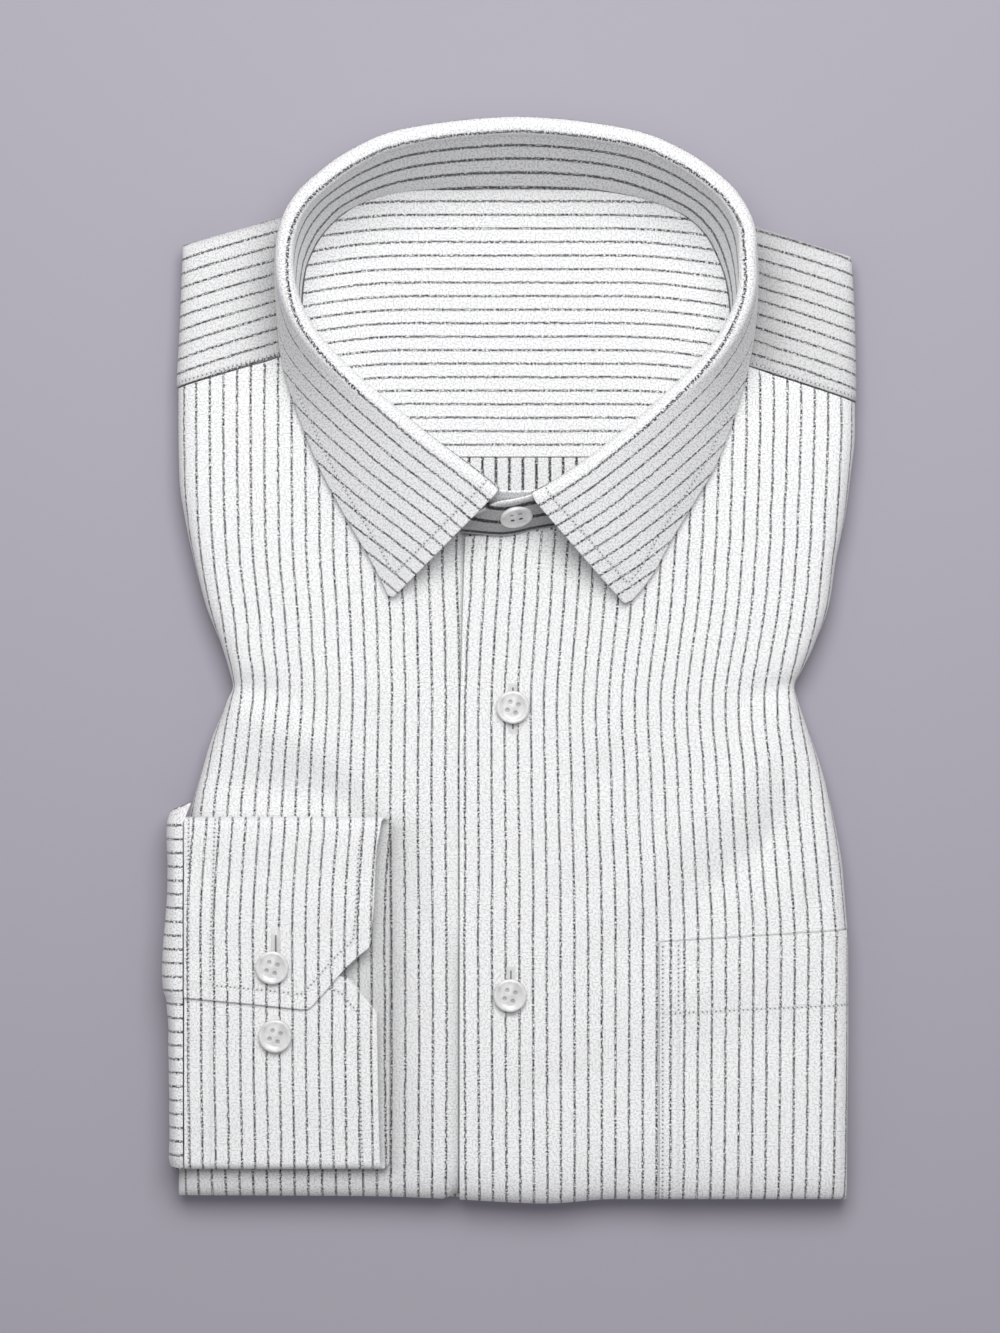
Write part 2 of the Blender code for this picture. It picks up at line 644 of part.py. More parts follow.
def make_folded_core(material, collection, cutters, origin):
    """The folded back, tail and other sleeve: one rounded solid, layered at its edges."""
    mesh = bpy.data.meshes.new("folded_core")
    skin = bmesh.new()
    outline, side_count = core_outline()
    rings = []
    for layer in LAYER_EDGE:
        rings.append(core_ring(skin, outline, lambda reach: layer.inset, lambda y: layer.z))
    for degrees in CORE_TURNS:
        turn = math.radians(degrees)

        def inset(reach):
            clearance = CORE_CLEARANCE * (reach / SIDE_ROLL) ** 2
            return clearance + (reach - clearance) * (1.0 - math.cos(turn))

        def height(y):
            rise = crown_height(y) - FOLD_MID_HEIGHT - CORE_TOP_CLEARANCE
            return FOLD_MID_HEIGHT + max(rise, 0.6) * math.sin(turn)

        rings.append(core_ring(skin, outline, inset, height))
    for lower, upper in zip(rings, rings[1:]):
        join_rings(skin, lower, upper)
    skin.faces.new(list(reversed(rings[0])))
    close_core_top(skin, rings[-1], side_count)
    skin.to_mesh(mesh)
    skin.free()
    core = place_object("folded_core", mesh, collection, material, origin)
    cutter = make_neck_cutter(cutters, origin)
    dish = core.modifiers.new("Neck", "BOOLEAN")
    dish.operation = "DIFFERENCE"
    dish.object = cutter
    return core


def close_core_top(skin, ring, side_count):
    """Covers the top with rungs from the left side fold to the right one."""
    left = ring[:side_count]
    bottom_count = len(BOTTOM_EDGE)
    bottom = ring[side_count:side_count + bottom_count]
    right = ring[side_count + bottom_count:2 * side_count + bottom_count]
    right.reverse()
    top = ring[2 * side_count + bottom_count:]
    for index in range(side_count - 1):
        skin.faces.new((left[index], left[index + 1], right[index + 1], right[index]))
    skin.faces.new([left[-1]] + bottom + [right[-1]])
    skin.faces.new([right[0]] + top + [left[0]])


def make_neck_cutter(cutters, origin):
    """A prism on the neck seam's plan, which hollows the folded layers under the neck."""
    mesh = bpy.data.meshes.new("neck_cutter")
    skin = bmesh.new()
    outline = [neckline(position, NECK_DISH_MARGIN) for position in range(LAST_ROW + 1)]
    bottom = [skin.verts.new(Vector((p.x, p.y, NECK_DISH_FLOOR)) * MM) for p in outline]
    face = skin.faces.new(bottom)
    walls = bmesh.ops.extrude_face_region(skin, geom=[face])
    raised = [item for item in walls["geom"] if isinstance(item, bmesh.types.BMVert)]
    rise = Vector((0.0, 0.0, NECK_DISH_TOP - NECK_DISH_FLOOR)) * MM
    bmesh.ops.translate(skin, verts=raised, vec=rise)
    bmesh.ops.recalc_face_normals(skin, faces=skin.faces)
    skin.to_mesh(mesh)
    skin.free()
    cutter = place_object("neck_cutter", mesh, cutters, None, origin)
    cutter.hide_render = True
    cutter.display_type = "WIRE"
    return cutter


def neck_side(y, side):
    """X of the stand's base on one side of the neck, at y, inside the band."""
    rows = COLLAR_ROWS[:BACK_ROW] if side == "left" else COLLAR_ROWS[BACK_ROW + 1:]
    seam = column(rows, "base_y", "base_x", y)
    inward = 1.0 if side == "left" else -1.0
    return seam + inward * (CLOTH_WALL / 2.0 + SEAM_GAP + 0.3)


def neck_side_height(y):
    """Height of the neck seam at y."""
    return column(COLLAR_ROWS[:BACK_ROW], "base_y", "base_z", y)


def neck_floor(x, y, left, right):
    """Height of the yoke's inner face: flat, rising to the neck seam at each side."""
    across = abs(2.0 * (x - left) / (right - left) - 1.0)
    back = NECK_FLOOR_BACK_RISE * ease(y, 120.0, 164.0)
    floor = NECK_FLOOR_HEIGHT + back
    rim = max(neck_side_height(y) - 1.2, floor)
    return blend(floor, rim, across ** NECK_FLOOR_RISE_POWER)


def neck_sheet(name, ys, columns, material, collection, origin):
    rows = []
    for y in ys:
        left = neck_side(y, "left")
        right = neck_side(y, "right")
        xs = spread(left, right, columns)
        rows.append([(x, y, neck_floor(x, y, left, right)) for x in xs])
    return sheet(name, rows, CLOTH_WALL, -1.0, material, collection, origin)


def make_neck_pieces(material, collection, origin):
    """The inner yoke, and the strip of the back's inner face that shows below it."""
    yoke_ys = [164.6, 163.0, 160.0] + spread(155.0, YOKE_SEAM_Y, 10)
    back_ys = spread(YOKE_SEAM_Y - SEAM_GAP, BACK_STRIP_END_Y, 4)
    neck_sheet("yoke_inner", yoke_ys, 13, material, collection, origin)
    neck_sheet("back_inner", back_ys, 9, material, collection, origin)


def stand_stations():
    """The band's lower and upper edges, with its lapped ends."""
    below_leaf = ROLL_DEPTH + SEAM_GAP + CLOTH_WALL / 3.0
    bases = [Vector(row[:3]) for row in UNDER_LAP]
    tops = [Vector(row[3:]) for row in UNDER_LAP]
    for row in COLLAR_ROWS:
        bases.append(Vector((row.base_x, row.base_y, row.base_z)))
        tops.append(Vector((row.fold_x, row.fold_y, row.fold_z - below_leaf)))
    bases += [Vector(row[:3]) for row in OVER_LAP]
    tops += [Vector(row[3:]) for row in OVER_LAP]
    return bases, tops


def make_collar_stand(material, collection, origin):
    """The band round the neck, leaning back, its ends lapped at the front."""
    bases, tops = stand_stations()
    rows = []
    for index in range(len(bases)):
        base = bases[index]
        top = tops[index]
        before = bases[max(index - 1, 0)]
        after = bases[min(index + 1, len(bases) - 1)]
        way = (after - before).to_2d().normalized()
        outward = Vector((-way.y, way.x, 0.0))
        row = []
        for share in spread(0.0, 1.0, 4):
            bow = STAND_BOW * 4.0 * share * (1.0 - share)
            row.append(base.lerp(top, share) + outward * bow)
        rows.append(row)
    return sheet("collar_stand", rows, CLOTH_WALL, 0.0, material, collection, origin)


def leaf_section(position):
    """The leaf from inside its roll, over the top and down to its hem."""
    fold = along(FOLD_POINTS, position)
    hem = along(HEM_POINTS, position)
    step = 0.05
    start = along(FOLD_POINTS, max(position - step, 0.0))
    end = along(FOLD_POINTS, min(position + step, LAST_ROW))
    way = (end - start).to_2d().normalized()
    outward = Vector((-way.y, way.x, 0.0))
    up = Vector((0.0, 0.0, 1.0))
    middle = fold + outward * ROLL_RADIUS - up * ROLL_DEPTH
    reach = (hem - middle).to_2d().length
    last_turn = math.atan2(reach, middle.z - hem.z)
    points = []
    for turn in spread(math.pi, last_turn, 5):
        points.append(middle + (outward * math.cos(turn) + up * math.sin(turn)) * ROLL_RADIUS)
    leave = points[-1]
    lift = outward * math.cos(last_turn) + up * math.sin(last_turn)
    for share in spread(0.0, 1.0, 7)[1:]:
        bulge = LEAF_BULGE * 4.0 * share * (1.0 - share)
        points.append(leave.lerp(hem, share) + lift * bulge)
    return points


def make_collar_leaf(material, collection, origin):
    """The turned-down collar, rolled over the stand, with its two points."""
    rows = [leaf_section(position) for position in spread(0.0, LAST_ROW, 2 * LAST_ROW + 1)]
    return sheet("collar_leaf", rows, CLOTH_WALL, -1.0, material, collection, origin)


def make_sleeve(material, collection, origin):
    """The sleeve where it comes up round the side fold to the cuff."""
    rows = []
    for row in SLEEVE_ROWS:
        section = []
        for out, down in SLEEVE_PROFILE:
            x = blend(CUFF_SEAM_X - SEAM_GAP, row.outer, out)
            z = blend(row.seam_z, SLEEVE_LOWEST, down)
            section.append((x, row.y, z))
        rows.append(list(reversed(section)))
    return sheet("sleeve", rows, CLOTH_WALL, -1.0, material, collection, origin)


def cuff_section(cuff_column, share):
    """Once round the cuff: upper end, top fold, back layer, bottom fold, lower end."""
    mouth_back = blend(cuff_column.x, CUFF_MOUTH_BACK_X, share ** 6)
    top_radius = (CUFF_UPPER_TOP - CUFF_BACK_UNDERSIDE) / 2.0
    bottom_radius = (CUFF_LOWER_TOP - CUFF_BACK_UNDERSIDE) / 2.0
    top_fold = CUFF_TOP_FOLD_Y - top_radius
    bottom_fold = CUFF_BOTTOM_FOLD_Y + bottom_radius

    def dome(y):
        across = (y - bottom_fold) / (top_fold - bottom_fold)
        return CUFF_DOME * 4.0 * across * (1.0 - across)

    section = []
    for y in spread(cuff_column.upper_end, top_fold, 6):
        section.append((cuff_column.x, y, CUFF_UPPER_TOP + dome(y)))
    for turn in spread(90.0, -90.0, 6)[1:-1]:
        across = math.cos(math.radians(turn)) * top_radius
        z = CUFF_UPPER_TOP - top_radius + math.sin(math.radians(turn)) * top_radius
        section.append((cuff_column.x, top_fold + across, z))
    for y in spread(top_fold, bottom_fold, 8):
        section.append((mouth_back, y, CUFF_BACK_UNDERSIDE))
    for turn in spread(-90.0, -270.0, 6)[1:-1]:
        across = math.cos(math.radians(turn)) * bottom_radius
        z = CUFF_LOWER_TOP - bottom_radius + math.sin(math.radians(turn)) * bottom_radius
        section.append((cuff_column.x, bottom_fold + across, z))
    for y in spread(bottom_fold, cuff_column.lower_end, 5):
        section.append((cuff_column.x, y, CUFF_LOWER_TOP + dome(y)))
    return section


def make_cuff(material, collection, origin):
    """The cuff, buttoned and flattened, with mitred ends."""
    rows = []
    last = len(CUFF_COLUMNS) - 1
    for index, cuff_column in enumerate(CUFF_COLUMNS):
        rows.append(cuff_section(cuff_column, index / last))
    return sheet("cuff", rows, CLOTH_WALL, -1.0, material, collection, origin)


def laid_on(height, x, y, lift):
    """A point moved out from a panel's surface, square to it."""
    step = 0.2
    slope_x = (height(x + step, y) - height(x - step, y)) / (2.0 * step)
    slope_y = (height(x, y + step) - height(x, y - step)) / (2.0 * step)
    outward = Vector((-slope_x, -slope_y, 1.0)).normalized()
    return Vector((x, y, height(x, y))) + outward * lift


def make_pocket(material, collection, origin):
    """The chest pocket, laid on the front and turned down over its bottom fold."""
    lift = POCKET_WALL + SEAM_GAP
    right_x = side_edge(POCKET_TOP_LEFT_Y, "right") - POCKET_FOLD_CLEARANCE
    xs = spread(POCKET_LEFT_X, right_x - SIDE_ROLL, 7)
    xs += [right_x - SIDE_ROLL * share for share in (0.62, 0.32, 0.12, 0.0)]
    rows = []
    for share in spread(0.0, 1.0, 9):
        row = []
        for x in xs:
            across = (x - POCKET_LEFT_X) / (right_x - POCKET_LEFT_X)
            top = blend(POCKET_TOP_LEFT_Y, POCKET_TOP_RIGHT_Y, across)
            y = blend(top, bottom_edge(x) + BOTTOM_ROLL, share)
            row.append(laid_on(body_height, x, y, lift))
        rows.append(row)
    for inset in fold_insets(BOTTOM_ROLL - POCKET_FOLD_CLEARANCE)[1:]:
        fold_y = POCKET_FOLD_CLEARANCE + inset
        rows.append([laid_on(body_height, x, bottom_edge(x) + fold_y, lift) for x in xs])
    return sheet("pocket", rows, POCKET_WALL, -1.0, material, collection, origin)


def make_button_mesh(name):
    """A four-hole button: a turned disc with a raised rim."""
    dish_floor = BUTTON_THICKNESS - BUTTON_DISH_DEPTH
    profile = (
        (0.0, dish_floor),
        (BUTTON_DISH_RADIUS * 0.85, dish_floor),
        (BUTTON_DISH_RADIUS, dish_floor + 0.25),
        (BUTTON_DISH_RADIUS + 0.5, BUTTON_THICKNESS),
        (BUTTON_RADIUS - 0.5, BUTTON_THICKNESS),
        (BUTTON_RADIUS, BUTTON_THICKNESS - 0.6),
        (BUTTON_RADIUS, 0.9),
        (BUTTON_RADIUS - 1.0, 0.2),
        (0.0, 0.0),
    )
    mesh = bpy.data.meshes.new(name)
    skin = bmesh.new()
    points = [skin.verts.new((radius * MM, 0.0, z * MM)) for radius, z in profile]
    for start, end in zip(points, points[1:]):
        skin.edges.new((start, end))
    skin.to_mesh(mesh)
    skin.free()
    return mesh


def make_hole_cutter(name, collection, origin):
    """Four pins, one for each hole of a button."""
    mesh = bpy.data.meshes.new(name)
    skin = bmesh.new()
    for side_x in (-1, 1):
        for side_y in (-1, 1):
            offset = Vector((side_x, side_y, 0.0)) * BUTTON_HOLE_OFFSET
            middle = offset + Vector((0.0, 0.0, BUTTON_THICKNESS / 2.0))
            bmesh.ops.create_cone(
                skin, cap_ends=True, segments=BUTTON_HOLE_SIDES,
                radius1=BUTTON_HOLE_RADIUS * MM, radius2=BUTTON_HOLE_RADIUS * MM,
                depth=2.0 * BUTTON_THICKNESS * MM, matrix=Matrix.Translation(middle * MM))
    skin.to_mesh(mesh)
    skin.free()
    cutter = place_object(name, mesh, collection, None, origin)
    cutter.hide_render = True
    cutter.display_type = "WIRE"
    return cutter


def make_button(place, material, collection, cutters, origin):
    mesh = make_button_mesh(place.name)
    button = place_object(place.name, mesh, collection, material, origin)
    cutter = make_hole_cutter(place.name + "_holes", cutters, origin)
    turn = Vector((0.0, 0.0, 1.0)).rotation_difference(Vector(place.facing))
    for item in (button, cutter):
        item.location = Vector((place.x, place.y, place.z)) * MM
        item.rotation_mode = "QUATERNION"
        item.rotation_quaternion = turn
    screw = button.modifiers.new("Turned", "SCREW")
    screw.steps = BUTTON_SIDES
    screw.render_steps = BUTTON_SIDES
    screw.use_merge_vertices = True
    screw.merge_threshold = 0.00001
    screw.use_smooth_shade = True
    holes = button.modifiers.new("Holes", "BOOLEAN")
    holes.operation = "DIFFERENCE"
    holes.object = cutter
    return button


def main():
    clear_scene()
    parts = make_collection("folded_dress_shirt")
    cutters = make_collection("cutters")
    origin = bpy.data.objects.new("shirt_origin", None)
    parts.objects.link(origin)
    origin.location = Vector(ORIGIN) * MM
    cloth = make_material("shirt_cloth", CLOTH_COLOUR, 0.9)
    pearl = make_material("button_pearl", BUTTON_COLOUR, 0.25)
    make_folded_core(cloth, parts, cutters, origin)
    make_yoke_outer(cloth, parts, origin)
    make_neck_pieces(cloth, parts, origin)
    make_front_right(cloth, parts, origin)
    make_front_left(cloth, parts, origin)
    make_collar_stand(cloth, parts, origin)
    make_collar_leaf(cloth, parts, origin)
    make_sleeve(cloth, parts, origin)
    make_cuff(cloth, parts, origin)
    make_pocket(cloth, parts, origin)
    for place in BUTTON_PLACES:
        make_button(place, pearl, parts, cutters, origin)


main()
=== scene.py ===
import math
from bisect import bisect_right
from collections import namedtuple

import bmesh
import bpy
import numpy as np
from mathutils import Matrix, Vector, noise


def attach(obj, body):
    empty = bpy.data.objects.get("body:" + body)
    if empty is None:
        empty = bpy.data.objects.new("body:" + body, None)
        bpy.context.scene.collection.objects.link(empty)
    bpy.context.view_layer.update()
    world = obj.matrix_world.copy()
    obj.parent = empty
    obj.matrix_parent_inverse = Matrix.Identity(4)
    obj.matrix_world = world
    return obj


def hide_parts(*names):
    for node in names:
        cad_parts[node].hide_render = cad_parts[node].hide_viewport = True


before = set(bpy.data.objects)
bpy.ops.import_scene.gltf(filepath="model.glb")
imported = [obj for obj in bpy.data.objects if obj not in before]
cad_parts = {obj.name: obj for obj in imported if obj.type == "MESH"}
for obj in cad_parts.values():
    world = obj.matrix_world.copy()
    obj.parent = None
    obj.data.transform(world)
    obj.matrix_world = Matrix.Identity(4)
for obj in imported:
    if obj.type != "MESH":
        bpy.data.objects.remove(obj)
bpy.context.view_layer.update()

mm = 0.001
modelShift = Vector((-0.1, 1.15, 0.0))     # the tables below are taken from the neck's own middle
stripePitch = 4.8                          # cloth coordinates are in millimetres, stripes at multiples
up = Vector((0.0, 0.0, 1.0))


def blend(start, end, share):
    return start + (end - start) * share


def ease(value, start, end):
    share = min(max((value - start) / (end - start), 0.0), 1.0)
    return share * share * (3.0 - 2.0 * share)


def bump(value, middle, reach):
    return math.exp(-((value - middle) / reach) ** 2)


def spread(start, end, count):
    return [blend(start, end, step / (count - 1)) for step in range(count)]


def smoothCurve(pairs):
    # a curve through (key, value) pairs that never swings past them
    pairs = sorted(pairs)
    keys = [pair[0] for pair in pairs]
    values = [pair[1] for pair in pairs]
    steps = [b - a for a, b in zip(keys, keys[1:])]
    rates = [(b - a) / step for a, b, step in zip(values, values[1:], steps)]
    slopes = [rates[0]]
    for before, after in zip(rates, rates[1:]):
        together = before * after
        slopes.append(2.0 * together / (before + after) if together > 0.0 else 0.0)
    slopes.append(rates[-1])

    def at(key):
        if key <= keys[0]:
            return values[0]
        if key >= keys[-1]:
            return values[-1]
        index = bisect_right(keys, key) - 1
        step = steps[index]
        share = (key - keys[index]) / step
        first = slopes[index] * step
        last = slopes[index + 1] * step
        change = values[index + 1] - values[index]
        square = 3.0 * change - 2.0 * first - last
        cube = first + last - 2.0 * change
        return values[index] + share * (first + share * (square + share * cube))

    return at


def tableCurve(table, key, value):
    return smoothCurve([(getattr(row, key), getattr(row, value)) for row in table])


def straightCurve(pairs):
    # as smoothCurve, but with straight runs, for edges with corners
    pairs = sorted(pairs)
    keys = [pair[0] for pair in pairs]
    values = [pair[1] for pair in pairs]
    return lambda key: float(np.interp(key, keys, values))


def along(points, position):
    # a point on the smooth curve through the points; position counts them from 0
    last = len(points) - 1
    index = min(max(int(position), 0), last - 1)
    share = position - index
    before = points[max(index - 1, 0)]
    start = points[index]
    end = points[index + 1]
    after = points[min(index + 2, last)]
    straight = (end - before) * share
    square = (2.0 * before - 5.0 * start + 4.0 * end - after) * share ** 2
    cube = (3.0 * start - 3.0 * end + after - before) * share ** 3
    return 0.5 * (2.0 * start + straight + square + cube)


def closeEnded(ends, start, length, count):
    # places from 0 to length: count even ones from start in, with closer ones at both ends
    return list(ends) + spread(start, length - start, count) + [length - near for near in reversed(ends)]


edgeSteps = (0.0, 0.08, 0.2, 0.38, 0.65)     # millimetres in from an edge, to round it
firstStep = 1.0                              # where the even steps start


def crowded(length, count):
    # distances from 0 to length in count even steps, with closer ones at both ends
    return closeEnded(edgeSteps, firstStep, length, count + 1)


def arch(share):
    # 0 at both ends and 1 in the middle
    return 4.0 * share * (1.0 - share)


def runAlong(points):
    # how far along its line each point is
    run = [0.0]
    for before, after in zip(points, points[1:]):
        run.append(run[-1] + (after - before).length)
    return run


def wholeGrid(points):
    return np.ones(points.shape[:2], bool)


def place(point):
    # from the tables' millimetres to the model's metres
    return (Vector(point) + modelShift) * mm


def outline(*points):
    # a named outline: rows of x and y in millimetres
    return [outlinePoint(*point) for point in points]


outlinePoint = namedtuple("outlinePoint", "x y")
bodyRow = namedtuple("bodyRow", "y left right")
bodyRows = [bodyRow(*row) for row in (
    (146.0, -114.6, 119.8), (127.0, -115.3, 120.9), (111.0, -116.0, 121.4), (96.0, -116.7, 121.6),
    (81.0, -116.7, 121.6), (64.0, -116.3, 119.9), (50.0, -114.2, 118.0), (36.0, -111.2, 115.0),
    (20.0, -107.0, 112.5), (5.0, -101.2, 107.0), (-4.0, -98.4, 102.6), (-9.0, -97.3, 100.3),
    (-13.5, -99.2, 101.4), (-21.0, -102.2, 103.9), (-27.0, -104.7, 106.1), (-38.0, -108.2, 109.8),
    (-48.0, -111.0, 112.5), (-59.0, -113.5, 114.9), (-72.0, -115.0, 117.1), (-84.0, -115.5, 118.1),
    (-100.0, -115.8, 119.2), (-130.0, -116.0, 119.3), (-165.0, -116.0, 118.9),
    (-177.0, -116.4, 118.8), (-190.0, -117.2, 118.6))]
bottomFold = outline((-117.2, -188.0), (-52.6, -188.3), (-18.5, -189.4), (12.9, -190.8),
                     (37.2, -189.4), (118.6, -189.4))
shoulderFold = outline((-114.6, 146.0), (-97.0, 151.0), (-79.7, 156.0), (-64.0, 166.0),
                       (-42.0, 173.5), (2.0, 177.5), (46.0, 173.5), (68.0, 165.0), (84.0, 153.5),
                       (102.0, 147.5), (119.8, 142.0))
placketEdge = outline((-15.6, 43.0), (-16.6, 9.1), (-17.5, -34.6), (-17.5, -190.0))

sideX = {"left": tableCurve(bodyRows, "y", "left"), "right": tableCurve(bodyRows, "y", "right")}
bottomY = tableCurve(bottomFold, "x", "y")
shoulderY = tableCurve(shoulderFold, "x", "y")
placketX = tableCurve(placketEdge, "y", "x")

# Heights of the folded body, how far its folds reach in, and how square they are.
body = {"chest": 18.0, "shoulder": 13.0, "slopeFromY": 60.0, "slopeToY": 150.0, "foldMiddle": 8.8,
        "sideRoll": 10.0, "bottomRoll": 16.0, "topRoll": 10.0, "squareness": 2.5,
        "wall": 0.45, "grid": 1.5, "waver": 0.3, "waverX": 0.045, "waverY": 0.03, "waverPlace": 3.0}

# Soft troughs (depth below 0) and ridges: where each is, which way it runs, its half length,
# its half width and its depth.
crease = namedtuple("crease", "x y degrees length width depth")
bodyCreases = [crease(*row) for row in (
    (-92.0, -10.0, -8.0, 15.0, 5.0, -2.33), (-80.0, -24.0, -20.0, 22.0, 8.0, 2.02),
    (-78.0, -46.0, -12.0, 24.0, 8.0, -2.63), (-52.0, -56.0, -46.0, 24.0, 6.0, -1.55),
    (-28.0, -94.0, -63.0, 20.0, 2.6, -0.93), (-36.0, -106.0, -72.0, 22.0, 6.0, 0.93),
    (-60.0, -6.0, -18.0, 26.0, 10.0, 0.78), (-38.0, -20.0, 82.0, 34.0, 9.0, 0.54),
    (95.0, -10.0, 8.0, 14.0, 5.0, -2.33), (84.0, -40.0, 62.0, 18.0, 8.0, 1.55),
    (93.0, -60.0, 68.0, 17.0, 7.0, -2.79), (75.0, -75.0, 42.0, 21.0, 7.0, -2.02),
    (64.0, -58.0, 45.0, 24.0, 8.0, 1.24), (107.0, -84.0, 62.0, 12.0, 4.0, -0.93),
    (31.0, -39.0, 52.0, 11.0, 5.0, -1.24), (38.0, -26.0, 48.0, 14.0, 6.0, 0.62),
    (20.0, -84.0, 35.0, 18.0, 5.0, -0.78), (40.0, -100.0, 20.0, 20.0, 6.0, -0.78),
    (62.0, 30.0, 64.0, 22.0, 8.0, -0.62), (-70.0, 46.0, -70.0, 24.0, 9.0, -0.62),
    (-87.0, 127.0, 80.0, 7.0, 4.0, -2.02), (-86.0, 108.0, 88.0, 8.0, 4.0, -2.33),
    (92.0, 129.0, 100.0, 7.0, 4.0, -2.02), (94.0, 107.0, 94.0, 8.0, 4.0, -2.48),
    (104.0, 118.0, -60.0, 16.0, 6.0, 0.62), (-106.0, 116.0, 70.0, 20.0, 6.0, 0.62),
    (86.0, -132.0, 12.0, 30.0, 10.0, -1.08), (70.0, -112.0, 24.0, 24.0, 8.0, 0.93),
    (22.0, -146.0, 16.0, 24.0, 7.0, -0.93), (4.0, -160.0, 70.0, 16.0, 5.0, -0.78),
    (-30.0, -150.0, -70.0, 22.0, 6.0, 0.78), (50.0, -168.0, 6.0, 26.0, 8.0, 0.78))]
# how many half lengths off a crease has ended, and how it bows
creaseForm = {"ends": 2.6, "bow": 0.012}


def creaseLift(creases, x, y):
    lift = 0.0
    for fold in creases:
        away = math.hypot(x - fold.x, y - fold.y)
        if away > creaseForm["ends"] * fold.length:
            continue
        turn = math.radians(fold.degrees)
        lengthwise = (x - fold.x) * math.cos(turn) + (y - fold.y) * math.sin(turn)
        across = (y - fold.y) * math.cos(turn) - (x - fold.x) * math.sin(turn)
        across += creaseForm["bow"] * lengthwise ** 2 / fold.width
        lift += fold.depth * bump(lengthwise, 0.0, fold.length) * bump(across, 0.0, fold.width)
    return lift


def foldShare(distance, reach):
    # height of a rounded fold, as a share, at a distance in from its outermost line
    inward = min(max(distance / reach, 0.0), 1.0)
    power = body["squareness"]
    return (1.0 - (1.0 - inward) ** power) ** (1.0 / power)


def foldExtra(reach):
    # how much cloth the fold takes up beyond its width on plan, by distance in from its edge
    drop = body["chest"] - body["foldMiddle"]
    steps = 40
    distances = [reach * (step / steps) ** 2 for step in range(steps, -1, -1)]
    extra = [0.0]
    for before, after in zip(distances, distances[1:]):
        rise = drop * (foldShare(before, reach) - foldShare(after, reach))
        extra.append(extra[-1] + math.hypot(before - after, rise) - (before - after))
    return lambda distance: float(np.interp(distance, distances[::-1], extra[::-1]))


sideExtra = foldExtra(body["sideRoll"])
bottomExtra = foldExtra(body["bottomRoll"])


def crownHeight(y):
    return blend(body["chest"], body["shoulder"], ease(y, body["slopeFromY"], body["slopeToY"]))


def bodyHeight(x, y):
    # height of the outer face of the yoke and fronts, without the placket
    fromSide = min(x - sideX["left"](y), sideX["right"](y) - x)
    share = foldShare(fromSide, body["sideRoll"])
    share *= foldShare(y - bottomY(x), body["bottomRoll"])
    share *= foldShare(shoulderY(x) - y, body["topRoll"])
    crown = crownHeight(y) + creaseLift(bodyCreases, x, y)
    where = Vector((x * body["waverX"], y * body["waverY"], body["waverPlace"]))
    crown += body["waver"] * noise.noise(where)
    return body["foldMiddle"] + (crown - body["foldMiddle"]) * share


# How the shirt's straight stripes are pulled in at the waist: the lean of the stripe beside the
# placket, and the further pull at the far stripes, for each side.
waistRow = namedtuple("waistRow", "y leanLeft pullLeft leanRight pullRight")
waistRows = [waistRow(*row) for row in (
    (81.0, -1.2, 0.4, 3.1, 0.0), (63.0, -1.2, 0.6, 2.9, -0.4), (46.0, -1.2, 1.0, 2.9, -1.1),
    (35.0, -1.2, 1.7, 2.1, -1.0), (25.0, -0.9, 2.6, 1.7, -1.3), (14.0, -0.5, 3.7, 1.0, -1.9),
    (4.0, -0.3, 4.3, 0.5, -3.2), (-5.0, -0.1, 5.4, 0.1, -4.4), (-12.0, 0.0, 5.3, -0.1, -5.1),
    (-21.0, 0.0, 4.4, -0.3, -4.8), (-28.0, -0.1, 3.6, -0.3, -4.1), (-35.0, -0.2, 2.9, -0.3, -3.2),
    (-49.0, -0.2, 1.1, -0.3, -2.4), (-70.0, 0.0, 0.0, -0.2, -0.8), (-98.0, 0.2, 0.0, -0.5, 1.3),
    (-129.0, 0.3, 0.0, -0.4, 1.0), (-184.0, 0.0, 0.0, 0.0, 0.0))]
lean = {"left": tableCurve(waistRows, "y", "leanLeft"),
        "right": tableCurve(waistRows, "y", "leanRight")}
pull = {"left": tableCurve(waistRows, "y", "pullLeft"),
        "right": tableCurve(waistRows, "y", "pullRight")}
# The first stripe beside the placket on each front, their spacing, and how the pull spreads.
frontStripes = {"left": {"first": -22.3, "spacing": 4.82, "far": 77.0, "power": 1.8},
                "right": {"first": -15.3, "spacing": 4.763, "far": 114.3, "power": 1.1}}


def frontCloth(side, x, y):
    # cloth coordinates of a point on a front
    look = frontStripes[side]
    sign = -1.0 if side == "left" else 1.0
    out = sign * (x - look["first"])
    for _ in range(3):     # three rounds settle the pull at the stripe's own place
        reach = max(out, 0.0) / look["far"]
        shift = lean[side](y) + pull[side](y) * reach ** look["power"]
        out = sign * (x - shift - look["first"])
    edge = abs(sideX[side](y) - x)
    out = out * stripePitch / look["spacing"] + sideExtra(edge)
    return (out, y - bottomExtra(y - bottomY(x)))


collarRow = namedtuple("collarRow", "baseX baseY baseZ foldX foldY foldZ hemX hemY hemZ")
